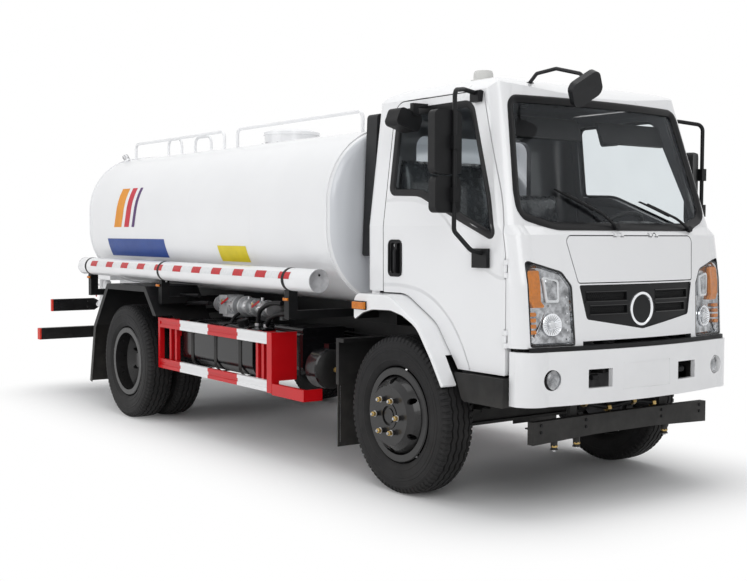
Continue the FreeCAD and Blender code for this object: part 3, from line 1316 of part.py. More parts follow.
def cab_floor(inner):
    """Floor with an engine tunnel, two footwells, front beam, pivot arms and the step boxes."""
    w = HALF_CAB - DOOR_T - 6
    main = box(CAB_REAR + 40, 985, -w, w, FLOOR_Z, FLOOR_Z + FLOOR_T)
    cuts = []
    tubs = []
    for s in (-1, 1):
        a, b = s * (HALF_FRAME + 34), s * (w - 26)
        cuts.append(box(566, 955, min(a, b), max(a, b), FLOOR_Z - 20, FLOOR_Z + 80))
        oa, ob = s * (HALF_FRAME + 8), s * w
        tub = box(540, 985, min(oa, ob), max(oa, ob), TUB_BOTTOM, FLOOR_Z)
        hollow = box(566, 955, min(a, b), max(a, b), TUB_BOTTOM + 26, FLOOR_Z + 80)
        sill = box(600, 930, min(s * (w - 40), s * 1000), max(s * (w - 40), s * 1000), TUB_BOTTOM + 60, FLOOR_Z + 80)
        tubs.append(tub.cut(hollow).cut(sill))
        cuts.append(sill)
    floor = main.cut(cuts).fuse(tubs).common(inner)
    beam = box(930, 1040, -700, 700, 1000, FLOOR_Z).common(inner)
    parts = [floor, beam]
    for s in (-1, 1):
        a, b = s * (PIVOT_ARM_Y - 20), s * (PIVOT_ARM_Y + 20)
        px, pz = CAB_PIVOT_X, CAB_PIVOT_Z
        web = [(px - 14, pz - 14), (px + 8, pz + 18), (px - 30, PANEL_BOTTOM - 6), (px - 30, 1010), (px - 90, 1010), (px - 90, pz + 24)]
        arm = prism_y(web, min(a, b), max(a, b))
        arm = arm.fuse(cyl_y(20, min(a, b), max(a, b), px, pz))
        pa, pb = s * (PIVOT_ARM_Y - 18), s * (PIVOT_ARM_Y + 54)
        pin = cyl_y(CAB_PIN_R, min(pa, pb), max(pa, pb), CAB_PIVOT_X, CAB_PIVOT_Z)
        parts.extend([arm, pin])
        x0, x1 = 622.0, STEP_FRONT - CAB_SHIFT
        z0, z1 = STEP_BOTTOM, DOOR_BOTTOM - 14
        ya, yb = s * 660, s * (STEP_OUT_Y - 14)
        step = slab_y([(x0, z0), (x0, z1), (x1, z1), (x1, z0)], [10, 10, 10, 10], min(ya, yb), max(ya, yb))
        well = box(x0 + 24, x1 - 24, min(ya, yb) - 1, max(ya, yb) + 1, z0 + 26, z1 - 24)
        well = well.common(box(x0, x1, min(s * 600, s * 880), max(s * 600, s * 880), 600, 900))
        cheek_pts = [(ARCH_X + 446, z1), (ARCH_X + 470, 745), (ARCH_X + 495, 690), (ARCH_X + 515, 640),
                     (ARCH_X + 538, z0), (x1, z0), (x1, z1)]
        ya, yb = s * (STEP_OUT_Y - 16), s * STEP_OUT_Y
        cheek = slab_y(cheek_pts, [8, 80, 200, 30, 20, 10, 10], min(ya, yb), max(ya, yb))
        step = step.cut(well).fuse(cheek)
        ya = s * 660
        hang = box(x0 + 40, x1 - 60, min(ya, s * 740), max(ya, s * 740), z1 - 20, TUB_BOTTOM + 4)
        parts.extend([step, hang])
    rear = box(CAB_REAR + 60, CAB_REAR + 180, -HALF_FRAME, HALF_FRAME, FLOOR_Z - 36, FLOOR_Z)
    parts.append(rear)
    return fuse(parts)


def cab_interior():
    """Dashboard, steering column, driver's seat and passenger bench."""
    inner = cab_solid(DOOR_T + 1, 60.0)
    dash_pts = [(700, 1330), (650, 1420), (660, 1560), (760, 1612), (1200, 1612), (1200, 1290), (800, 1290)]
    dash = slab_y(dash_pts, [30, 40, 60, 60, 10, 10, 60], -830, 830).common(inner)
    out = [dash]
    c = column_point
    col = Part.makeCylinder(24, 330, c(30), STEER_DIR.negative())
    boss = Part.makeCylinder(38, 22, c(26 + SEAT), STEER_DIR.negative())
    pedal = box(740, 790, STEER_Y - 60, STEER_Y + 60, FLOOR_Z + FLOOR_T, 1330)
    out.append(fuse([dash, col, boss, pedal]))
    out.pop(0)
    for y, half in ((STEER_Y, 240.0), (-360.0, 385.0)):
        base = box(-200, 200, y - half + 40, y + half - 40, FLOOR_Z + FLOOR_T, 1400)
        cushion = slab_y([(-260, 1390), (-260, 1530), (270, 1530), (270, 1390)], [40, 60, 60, 40], y - half, y + half)
        back = slab_y([(-260, 1500), (-335, 2080), (-205, 2080), (-100, 1500)], [30, 50, 50, 30], y - half, y + half)
        out.append(fuse([base, cushion, back]))
    return out


STEER_Y = 400.0
STEER_C = V(520, STEER_Y, 1600)
STEER_DIR = V(-math.sin(math.radians(38)), 0, math.cos(math.radians(38)))


def column_point(d):
    return STEER_C - STEER_DIR * d


def steering_wheel():
    rim = Part.makeTorus(205, 15, STEER_C, STEER_DIR)
    hub = Part.makeCylinder(46, 34, column_point(26), STEER_DIR)
    side = V(0, 1, 0)
    fwd = STEER_DIR.cross(side)
    parts = [rim, hub]
    for d in (side, side.negative(), fwd):
        parts.append(Part.makeCylinder(13, 200, column_point(9), d))
    return fuse(parts)


def arch_flares():
    """Thin flared arches: a skin following the wheel and an outer lip, open towards the tyre."""
    out = []
    for s in (-1, 1):
        lip = [(216, 1036), (80, 1096), (-34, 1120), (-222, 1115), (-319, 1091), (-405, 1046), (-425, 1060)]
        pts = FLARE_TOP + [(452, 704), (352, 858)] + lip
        radii = FLARE_RADII + [8, 380, 230, 120, 200, 200, 60, 8, 8]
        y0, y1 = s * (HALF_CAB - DOOR_T - 6 + SEAT), s * ARCH_OUT_Y
        wire = rounded_wire(pts, radii, lambda a, b: V(ARCH_X + a, y0, b))
        band = Part.Face(wire).extrude(V(0, y1 - y0, 0))
        rim = [e for e in band.Edges if all(abs(v.Y - y1) < 0.01 for v in e.Vertexes)]
        band = band.makeFillet(FLARE_T * 0.5, rim)
        under = [(-425, 600)] + FLARE_TOP + [(FLARE_TOP[-1][0], 600)]
        below = rounded_wire(under, [1] + FLARE_RADII + [1], lambda a, b: V(ARCH_X + a, y0 - s, b))
        below = below.makeOffset2D(-FLARE_T)
        pocket = Part.Face(below).extrude(V(0, y1 - y0 - s * (FLARE_T - 1), 0))
        ya, yb = s * 800, s * FLARE_TIP_Y
        toe = box(ARCH_X + 250, ARCH_X + 600, min(ya, yb), max(ya, yb), 600, 880)
        out.append(band.cut(pocket).cut(toe))
    return out


BEACON = (182.0, -420.0)


def cab_fittings():
    """Air intake duct behind the cab, front-view mirror and beacon on the roof."""
    out = []
    duct = slab_x([(-832, 1443), (-748, 1443), (-700, 2372), (-794, 2372)], [18, 18, 30, 30], CAB_REAR - 130, CAB_REAR - 18)
    foot = box(CAB_REAR - 30, CAB_REAR - SEAT, -795, -750, 1500, 1560)
    foot2 = box(CAB_REAR - 30, CAB_REAR - SEAT, -765, -727, 2100, 2160)
    out.append(fuse([duct, foot, foot2]))
    skin = cab_solid(-SEAT, -SEAT)
    base = cyl_z(80, 2440, 2548, BEACON[0], BEACON[1]).cut(skin)
    dome = cyl_z(62, 2538, 2576, BEACON[0], BEACON[1])
    top = Part.makeSphere(62, V(BEACON[0], BEACON[1], 2576)).common(box(0, 400, -600, -200, 2576, 2606))
    out.append(fuse([base, dome, top]).cut(skin))
    arm = [V(640, -484, 2458), V(760, -521, 2518), V(900, -505, 2532), V(1072, -480, 2486), V(1088, -469, 2414)]
    bar = pipe(arm, 11, 30)
    foot = cyl_z(42, 2395, 2480, 640, -484).cut(skin)
    head = slab_x([(-572, 2322), (-572, 2482), (-366, 2482), (-366, 2322)], [46, 46, 46, 46], 1073, 1113)
    head.rotate(V(1093, -469, 2402), V(1, 0, 0), 37)
    head.rotate(V(1093, -469, 2402), V(0, 1, 0), 25)
    out.append(fuse([bar, foot, head]).cut(skin))
    return out


def main():
    os.makedirs("parts", exist_ok=True)
    for side, name in ((-1, "right"), (1, "left")):
        save("front_tyre_" + name, tyre(0.0, side * FRONT_Y))
        save("front_wheel_" + name, front_wheel(side))
        save("rear_tyres_" + name, [tyre(REAR_AXLE_X, side * OUTER_DUAL_Y), tyre(REAR_AXLE_X, side * INNER_DUAL_Y)])
        save("rear_wheel_" + name, rear_wheel(side))
        save("knuckle_" + name, knuckle(side))
    save("tie_rod", tie_rod())
    save("front_axle", front_axle())
    save("rear_axle", rear_axle())
    save("powertrain", powertrain())
    save("frame", frame())
    save("front_brackets", front_brackets())
    save("tank", tank())
    save("tank_rails", tank_rails())
    save("manhole_lid", manhole_lid())
    save("side_tubes", side_tubes())
    save("side_tanks_and_boxes", fuel_air_tanks() + battery_box())
    save("water_pump", water_pump())
    save("front_spray_bar", front_spray_bar())
    save("mudguards", mudguards())
    save("side_guards", side_guards())
    save("rear_bars", rear_bars())
    save("rear_spray_rig", rear_spray_rig())
    save("front_bumper", front_bumper())
    shell = cab_shell()
    inner = cab_solid(DOOR_T + SEAT, 40.0)
    pane = cab_solid(10.0, 8.0).cut(cab_solid(16.0, 12.0))
    save_cab("cab_rear_wall", cab_rear_wall(shell))
    save_cab("cab_roof", cab_roof(shell))
    save_cab("cab_front", cab_front(shell))
    save_cab("cab_floor", cab_floor(inner))
    save_cab("cab_glass", cab_glass(pane))
    save_cab("cab_interior", cab_interior())
    save_cab("grille", grille())
    save_cab("headlamps", headlamps())
    save_cab("arch_flares", arch_flares())
    save_cab("cab_fittings", cab_fittings())
    save_cab("front_flap", front_flap(cab_solid(0.0, 0.0).cut(cab_solid(25.0, 20.0))))
    save_cab("steering_wheel", steering_wheel())
    panel = door(1, shell)
    for side, name in ((-1, "right"), (1, "left")):
        save_cab("door_" + name, panel if side > 0 else mirror_y(panel))
        save_cab("door_glass_" + name, door_glass(side, pane))
        save_cab("door_mirrors_" + name, door_mirrors(side))


main()
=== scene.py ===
import bmesh
import bpy
import math
from mathutils import Matrix, Vector
from mathutils.bvhtree import BVHTree


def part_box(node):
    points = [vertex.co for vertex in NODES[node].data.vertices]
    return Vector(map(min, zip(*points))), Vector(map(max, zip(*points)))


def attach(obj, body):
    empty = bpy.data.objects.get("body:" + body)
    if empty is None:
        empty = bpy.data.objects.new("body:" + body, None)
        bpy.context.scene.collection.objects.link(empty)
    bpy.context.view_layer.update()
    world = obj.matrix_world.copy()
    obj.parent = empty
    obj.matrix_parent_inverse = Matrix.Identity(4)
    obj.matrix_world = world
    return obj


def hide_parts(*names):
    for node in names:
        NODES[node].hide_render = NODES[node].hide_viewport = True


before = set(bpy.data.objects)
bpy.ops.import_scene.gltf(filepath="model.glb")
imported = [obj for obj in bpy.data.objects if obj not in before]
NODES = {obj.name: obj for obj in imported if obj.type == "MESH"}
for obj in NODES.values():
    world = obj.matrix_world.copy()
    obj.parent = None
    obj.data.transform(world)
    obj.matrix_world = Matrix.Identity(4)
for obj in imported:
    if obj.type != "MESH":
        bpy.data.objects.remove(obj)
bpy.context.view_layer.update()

SIDES = (("right", -1), ("left", 1))
WHEEL_LO, WHEEL_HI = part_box("front_tyre_right")
REAR_LO, REAR_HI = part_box("rear_tyres_right")
AXLE_X = (WHEEL_LO.x + WHEEL_HI.x) / 2      # front axle in the row frame, metres
TYRE_R = WHEEL_HI.z / 2


def P(x, y, z):
    """Millimetres from the ground under the front axle, to the row frame in metres."""
    return Vector((AXLE_X + x / 1000, y / 1000, z / 1000))


def X(mm):
    return P(mm, 0, 0).x


# ---------------------------------------------------------------- materials
class Tree:
    """A shader tree being built. Each call adds a node and gives back the node or its result."""

    def __init__(self, owner):
        owner.use_nodes = True
        self.nodes, self.links = owner.node_tree.nodes, owner.node_tree.links
        self.nodes.clear()

    def new(self, kind, inputs, **settings):
        """inputs holds a value or another node's output for each input, by name or number."""
        node = self.nodes.new("ShaderNode" + kind)
        for key, value in settings.items():
            setattr(node, key, value)
        for key, value in inputs.items():
            if isinstance(value, bpy.types.NodeSocket):
                self.links.new(value, node.inputs[key])
            elif node.inputs[key].type == "RGBA":
                node.inputs[key].default_value = (*value[:3], 1)
            else:
                node.inputs[key].default_value = value
        return node

    def maths(self, op, a, b=None, clamp=False):
        inputs = {0: a} if b is None else {0: a, 1: b}
        return self.new("Math", inputs, operation=op, use_clamp=clamp).outputs[0]

    def vector(self, op, a, b=None, out="Vector"):
        inputs = {0: a} if b is None else {0: a, 1: b}
        return self.new("VectorMath", inputs, operation=op).outputs[out]

    def times(self, a, b):
        return self.maths("MULTIPLY", a, b)

    def total(self, parts, clamp=False):
        out = parts[0]
        for part in parts[1:]:
            out = self.maths("ADD", out, part, clamp)
        return out

    def step(self, value, lo, hi):
        """0 below lo, 1 above hi, smooth between."""
        inputs = {"From Min": lo, "From Max": hi, "Value": value}
        return self.new("MapRange", inputs, interpolation_type="SMOOTHSTEP").outputs["Result"]

    def inside(self, value, lo, hi, soft=0.0005):
        """1 between lo and hi."""
        above = [self.step(value, edge - soft, edge + soft) for edge in (lo, hi)]
        return self.maths("SUBTRACT", *above, True)

    def mix(self, fac, a, b):
        return self.new("Mix", {0: fac, 6: a, 7: b}, data_type="RGBA").outputs[2]

    def noise(self, coord, scale, detail=3.0):
        inputs = {"Scale": scale, "Detail": detail, "Roughness": 0.55, "Vector": coord}
        return self.new("TexNoise", inputs).outputs["Fac"]

    def blend(self, fac, a, b):
        return self.new("MixShader", {0: fac, 1: a.outputs[0], 2: b.outputs[0]})


def tint(color, k):
    return tuple(min(1.0, v * k) for v in color)


def surface(name, color, rough=0.4, metal=0.0, coat=0.0, spec=0.5, var=0.05, vscale=4.0, bump=0.0, bscale=80.0,
            rvar=0.08, dirt=0.0, extra=None, extra_bump=None):
    """Painted, moulded or cast surface: uneven colour and gloss, fine relief and road dust low down.
    extra(t, co, xyz, col) may repaint by place; extra_bump(t, xyz) gives relief by place."""
    m = bpy.data.materials.new(name)
    t = Tree(m)
    co = t.new("TexCoord", {})
    obj = co.outputs["Object"]
    xyz = t.new("SeparateXYZ", {0: obj})
    col = t.mix(t.step(t.noise(obj, vscale), 0.3, 0.7), tint(color, 1 - var), tint(color, 1 + var))
    if dirt > 0:
        low = t.step(xyz.outputs["Z"], 1.1, 0.35)
        col = t.mix(t.times(low, t.times(t.noise(obj, 9.0, 5.0), dirt)), col, ROAD_DUST)
    if extra:
        col = extra(t, co, xyz, col)
    gloss = t.new("MapRange", {"To Min": max(0.02, rough - rvar), "To Max": min(1.0, rough + rvar),
                               "Value": t.noise(obj, vscale * 3.1)})
    sh = t.new("BsdfPrincipled", {"Base Color": col, "Roughness": gloss.outputs["Result"], "Metallic": metal,
                                  "Specular IOR Level": spec, "Coat Weight": coat, "Coat Roughness": 0.06})
    if bump > 0 or extra_bump:
        relief = t.new("Bump", {"Distance": 0.001, "Strength": max(bump, 0.02),
                                "Height": t.noise(obj, bscale, 4.0)})
        if extra_bump:
            relief = t.new("Bump", {"Distance": 0.022, "Strength": 0.6, "Height": extra_bump(t, xyz),
                                    "Normal": relief.outputs[0]})
        t.links.new(relief.outputs[0], sh.inputs["Normal"])
    t.new("OutputMaterial", {0: sh.outputs[0]})
    return m


def clear_glass(name, color, strength):
    """Thin pane: what is behind shows through, tinted, with a surface gloss that grows at glancing angles."""
    m = bpy.data.materials.new(name)
    t = Tree(m)
    fac = t.noise(t.new("TexCoord", {}).outputs["Object"], 2.5)
    pane = t.new("BsdfTransparent", {0: t.mix(fac, tint(color, 0.97), tint(color, 1.03))})
    gloss = t.new("BsdfGlossy", {"Roughness": 0.02, "Color": (0.9, 0.95, 1.0)})
    facing = t.new("LayerWeight", {"Blend": 0.25}).outputs["Facing"]
    share = t.maths("ADD", t.times(facing, strength * 2.0), strength * 0.4, True)
    t.new("OutputMaterial", {0: t.blend(share, pane, gloss).outputs[0]})
    return m


WHITE = (0.86, 0.865, 0.875)
TANK_WHITE = (0.85, 0.855, 0.865)
TAPE_WHITE = (0.84, 0.845, 0.85)
BLACK = (0.007, 0.0073, 0.008)
DULL_BLACK = (0.008, 0.008, 0.009)
RED = (0.56, 0.004, 0.008)
END_RED = (0.72, 0.05, 0.03)
ROAD_DUST = (0.30, 0.28, 0.25)
LINING = (0.05, 0.052, 0.058)
DISC_GREY = (0.76, 0.77, 0.78)
# painted shade: grey of the tank's front head, standing in for the cab's shadow on it
HEAD_PAINTED_SHADE = (0.64, 0.66, 0.69)
BEACON_GREY = (0.66, 0.66, 0.64)
CAB_MID = P(300, 0, 1700)
WELD_RINGS = (-1712, -2720, -3728)
GUARD_BANDS = ((-2712, -2238), (-1778, -1346))
DOOR_CREASES = (((-300, 1800), (-100, 1802), (64, 1785), (259, 1715), (450, 1560), (600, 1440), (714, 1375),
                 (860, 1340)),
                ((-300, 1268), (-60, 1268), (120, 1235), (300, 1140), (430, 1010), (520, 860), (560, 760)))


def by_side(t, co, xyz, col):
    """Panels are painted outside and lined in dark trim on the faces that look into the cab."""
    inward = t.vector("NORMALIZE", t.vector("SUBTRACT", CAB_MID, co.outputs["Object"]))
    dot = t.vector("DOT_PRODUCT", inward, co.outputs["Normal"], "Value")
    return t.mix(t.step(dot, 0.12, 0.2), col, LINING)


def door_relief(t, xyz):
    """Steps down below each pressed line of the door; the lines are x, z in mm from the front axle."""
    z_low, z_span, width = 0.6, 1.6, 0.03
    steps = []
    for pts in DOOR_CREASES:
        x0, x1 = X(pts[0][0]), X(pts[-1][0])
        along = t.new("MapRange", {"From Min": x0, "From Max": x1, "Value": xyz.outputs["X"]})
        curve = t.new("FloatCurve", {"Value": along.outputs["Result"]})
        knots = curve.mapping.curves[0].points
        for i, (px, pz) in enumerate(pts):
            at = ((X(px) - x0) / (x1 - x0), (pz / 1000 - z_low) / z_span)
            if 0 < i < len(pts) - 1:
                knots.new(*at)
            else:
                knots[-1 if i else 0].location = at
        curve.mapping.update()
        line = t.maths("ADD", t.times(curve.outputs[0], z_span), z_low)
        steps.append(t.step(t.maths("SUBTRACT", xyz.outputs["Z"], line), -width / 2, width / 2))
    return t.total(steps)


def flare_paint(t, co, xyz, col):
    """White outside, black inside the arch, where faces look at the wheel."""
    n = t.new("SeparateXYZ", {0: co.outputs["Normal"]})
    to_hub = [t.times(t.maths("SUBTRACT", mid, xyz.outputs[axis]), n.outputs[axis])
              for mid, axis in ((X(0), "X"), (TYRE_R, "Z"))]
    return t.mix(t.step(t.total(to_hub), 0.08, 0.14), col, BLACK)


def guard_paint(t, co, xyz, col):
    """White lengths on the two red rails."""
    bands = t.total([t.inside(xyz.outputs["X"], X(x0), X(x1), 0.002) for x0, x1 in GUARD_BANDS], True)
    out = t.step(t.maths("ABSOLUTE", xyz.outputs["Y"]), 1.0985, 1.0995)
    rails = t.total([t.inside(xyz.outputs["Z"], lo, lo + 0.080) for lo in (0.480, 0.815)], True)
    return t.mix(t.times(bands, t.times(out, rails)), col, TAPE_WHITE)


def red_ends(t, co, xyz, col):
    """The outer tips of both rear bars; the lower bar is the longer one."""
    upper = t.times(t.step(xyz.outputs["Z"], 0.70, 0.71), 0.067)
    past = t.maths("SUBTRACT", t.maths("ABSOLUTE", xyz.outputs["Y"]), t.maths("SUBTRACT", 1.188, upper))
    return t.mix(t.step(past, -0.0005, 0.0005), col, END_RED)


def end_discs(t, co, xyz, col):
    n = t.new("SeparateXYZ", {0: co.outputs["Normal"]})
    return t.mix(t.step(t.maths("ABSOLUTE", n.outputs["X"]), 0.9, 0.95), col, DISC_GREY)


def tank_paint_with_painted_head_shade(t, co, xyz, col):
    """The dished front head is a little greyer than the shell: painted shade for the cab's shadow that falls on
    it.
    """
    return t.mix(t.step(xyz.outputs["X"], X(-690), X(-684)), col, HEAD_PAINTED_SHADE)


def tank_seams(t, xyz):
    """Weld rings around the shell."""
    rings = [t.inside(xyz.outputs["X"], X(x) - 0.004, X(x) + 0.004, 0.004) for x in WELD_RINGS]
    return t.times(t.total(rings), 0.12)


def beacon_dome(t, co, xyz, col):
    """The beacon on the right of the roof is pale; the fittings around it are black."""
    z = t.step(xyz.outputs["Z"], 2.538, 2.540)
    y = t.step(t.times(xyz.outputs["Y"], -1.0), 0.30, 0.31)
    x = t.step(xyz.outputs["X"], X(300), X(290))
    return t.mix(t.times(z, t.times(x, y)), col, BEACON_GREY)


BODY = dict(rough=0.28, coat=0.6, var=0.004, vscale=1.5, rvar=0.015, dirt=0.05, extra=by_side)
TRIM = dict(rough=0.3, coat=0.5, var=0.02, vscale=3.0, rvar=0.05)
LENS = dict(var=0.12, vscale=40.0, bump=0.15, bscale=300)
PANEL = dict(rough=0.4, spec=0.3, var=0.06, vscale=6.0)
TAPE = dict(vscale=60.0, bump=0.3, bscale=400)
GRAIN = dict(rough=0.5, var=0.12, vscale=12.0, bump=0.18, bscale=420)
M = {key: surface(name, color, **look) for key, name, color, look in (
    ("cab", "cab_paint", WHITE, BODY),
    ("door", "door_paint", WHITE, dict(BODY, extra_bump=door_relief)),
    ("white", "white_paint", WHITE, dict(TRIM, dirt=0.15)),
    ("flare", "flare_paint", WHITE, dict(TRIM, extra=flare_paint)),
    # tank shell paint; its front head carries painted shade for the cab's shadow
    ("tank", "tank_paint_with_painted_head_shade", TANK_WHITE,
     dict(TRIM, var=0.015, vscale=1.2, extra=tank_paint_with_painted_head_shade, extra_bump=tank_seams, bump=0.02, bscale=3.0)),
    ("tube", "locker_paint", TANK_WHITE, dict(rough=0.32, coat=0.4, var=0.02, vscale=3.0, extra=end_discs)),
    ("chassis", "chassis_paint", BLACK,
     dict(rough=0.5, spec=0.22, var=0.25, vscale=9.0, bump=0.12, bscale=60, dirt=0.12)),
    ("wheel", "wheel_paint", DULL_BLACK,
     dict(rough=0.30, coat=0.25, spec=0.3, var=0.2, vscale=6.0, rvar=0.1, dirt=0.06)),
    ("plastic", "moulded_black", (0.008, 0.0082, 0.009), dict(GRAIN, spec=0.2)),
    ("plastic_dull", "moulded_step", (0.012, 0.0122, 0.013),
     dict(rough=0.6, spec=0.18, var=0.15, vscale=8.0, bump=0.25, bscale=300, dirt=0.2)),
    ("black_gloss", "gloss_black", (0.006, 0.006, 0.007),
     dict(rough=0.22, coat=0.25, spec=0.25, var=0.1, vscale=5.0, rvar=0.06)),
    ("mudguard", "mudguard_black", DULL_BLACK,
     dict(rough=0.42, spec=0.2, var=0.2, vscale=6.0, bump=0.1, bscale=40, dirt=0.2)),
    ("guard", "guard_paint", RED,
     dict(rough=0.34, coat=0.12, spec=0.3, var=0.03, vscale=5.0, rvar=0.03, extra=guard_paint)),
    ("red", "red_paint", RED, dict(rough=0.34, spec=0.3, coat=0.12, var=0.1, vscale=8.0)),
    ("rear_bar", "bar_black", DULL_BLACK,
     dict(rough=0.4, spec=0.2, var=0.15, vscale=6.0, dirt=0.1, extra=red_ends)),
    ("pump", "pump_cast", (0.66, 0.67, 0.68),
     dict(rough=0.34, metal=0.5, var=0.12, vscale=14.0, bump=0.35, bscale=120)),
    ("engine", "engine_cast", (0.09, 0.09, 0.095),
     dict(rough=0.55, metal=0.3, var=0.3, vscale=10.0, bump=0.3, bscale=70)),
    ("brass", "brass", (0.52, 0.36, 0.13),
     dict(rough=0.30, metal=0.9, var=0.2, vscale=30.0, bump=0.1, bscale=200)),
    ("chrome", "chrome", (0.82, 0.83, 0.85), dict(rough=0.09, metal=1.0, vscale=10.0, rvar=0.04)),
    ("steel", "bare_steel", (0.42, 0.42, 0.43),
     dict(rough=0.35, metal=0.85, var=0.15, vscale=20.0, bump=0.1, bscale=150)),
    ("amber", "amber_lens", (0.64, 0.19, 0.004), dict(LENS, rough=0.2, spec=0.35, coat=0.25)),
    ("red_lens", "red_lens", (0.62, 0.012, 0.012), dict(LENS, rough=0.16, coat=0.8)),
    ("white_lens", "white_lens", (0.78, 0.79, 0.80),
     dict(LENS, rough=0.14, coat=0.8, var=0.05, vscale=30.0, bscale=260)),
    ("rubber", "seal_rubber", DULL_BLACK,
     dict(rough=0.42, spec=0.2, var=0.1, vscale=20.0, bump=0.1, bscale=200)),
    ("tyre", "tyre_rubber", (0.0105, 0.0105, 0.0115),
     dict(rough=0.6, spec=0.16, var=0.2, vscale=7.0, bump=0.3, bscale=160, dirt=0.06)),
    ("dash", "dash_plastic", (0.085, 0.092, 0.10),
     dict(rough=0.55, spec=0.4, var=0.1, vscale=10.0, bump=0.3, bscale=350)),
    ("seat", "seat_under_film", (0.036, 0.039, 0.043),
     dict(rough=0.26, coat=0.4, var=0.35, vscale=9.0, bump=0.9, bscale=14, rvar=0.15)),
    ("blue", "blue_panel", (0.010, 0.055, 0.27), dict(PANEL, coat=0.05)),
    ("yellow", "yellow_panel", (0.74, 0.60, 0.01), dict(PANEL, coat=0.05)),
    ("m_orange", "stripe_orange", (0.80, 0.30, 0.01), PANEL),
    ("m_red", "stripe_red", (0.56, 0.01, 0.03), PANEL),
    ("m_violet", "stripe_violet", (0.07, 0.012, 0.12), PANEL),
    ("tape_red", "tape_red", (0.50, 0.004, 0.01), dict(TAPE, rough=0.34, spec=0.3, coat=0.1, var=0.15)),
    ("tape_white", "tape_white", (0.74, 0.75, 0.76), dict(TAPE, rough=0.30, coat=0.3)),
    ("mirror", "mirror_glass", (0.72, 0.74, 0.76),
     dict(rough=0.03, metal=1.0, var=0.02, vscale=3.0, rvar=0.01)),
    ("housing", "lamp_chrome", (0.34, 0.345, 0.355),
     dict(rough=0.10, metal=1.0, var=0.55, vscale=18.0, rvar=0.06, bump=0.5, bscale=22)),
    ("fittings", "fitting_black", (0.011, 0.0115, 0.013), dict(GRAIN, spec=0.25, extra=beacon_dome)))}
for key, name, color, strength in (("glass", "cab_glass", (0.985, 0.99, 0.993), 0.02),
                                   ("door_glass", "door_glass", (0.86, 0.885, 0.895), 0.008),
                                   ("lens", "lamp_lens", (0.97, 0.975, 0.98), 0.05)):
    M[key] = clear_glass(name, color, strength)

CAD_MATERIAL = {
    "cab": ("cab_rear_wall", "cab_roof", "cab_front", "front_flap"),
    "door": ("door_right", "door_left"),
    "white": ("front_bumper", "tank_rails", "manhole_lid", "rear_spray_rig"),
    "flare": ("arch_flares",),
    "tank": ("tank",),
    "tube": ("side_tubes",),
    "chassis": ("frame", "front_brackets", "front_axle", "rear_axle", "knuckle_right", "knuckle_left", "tie_rod",
                "front_spray_bar"),
    "wheel": ("front_wheel_right", "front_wheel_left", "rear_wheel_right", "rear_wheel_left"),
    "plastic": ("grille", "door_mirrors_right", "door_mirrors_left", "steering_wheel"),
    "plastic_dull": ("cab_floor",),
    "black_gloss": ("side_tanks_and_boxes",),
    "fittings": ("cab_fittings",),
    "mudguard": ("mudguards",),
    "guard": ("side_guards",),
    "rear_bar": ("rear_bars",),
    "pump": ("water_pump",),
    "engine": ("powertrain",),
    "glass": ("cab_glass",),
    "door_glass": ("door_glass_right", "door_glass_left"),
}
for key, names in CAD_MATERIAL.items():
    for n in names:
        mesh = NODES[n].data
        mesh.materials.clear()
        mesh.materials.append(M[key])
        mesh.polygons.foreach_set("material_index", [0] * len(mesh.polygons))


# ---------------------------------------------------------------- shape helpers
def closed(points):
    """The points with the first one again at the end."""
    points = list(points)
    return points + points[:1]


def ring_faces(count, n):
    """Quads between count rings of n points each."""
    return [(j * n + i, j * n + (i + 1) % n, (j + 1) * n + (i + 1) % n, (j + 1) * n + i)
            for j in range(count - 1) for i in range(n)]


def new_object(name, data):
    ob = bpy.data.objects.new(name, data)
    bpy.context.scene.collection.objects.link(ob)
    return ob


def clean(mesh, weld=0.0):
    """Turns the normals outward; points closer than weld metres are joined first."""
    bm = bmesh.new()
    bm.from_mesh(mesh)
    if weld:
        bmesh.ops.remove_doubles(bm, verts=bm.verts, dist=weld)
    bmesh.ops.recalc_face_normals(bm, faces=bm.faces)
    bm.to_mesh(mesh)
    bm.free()


SEAM = 0.00005      # metres; joins the doubled points where a strip closes on itself


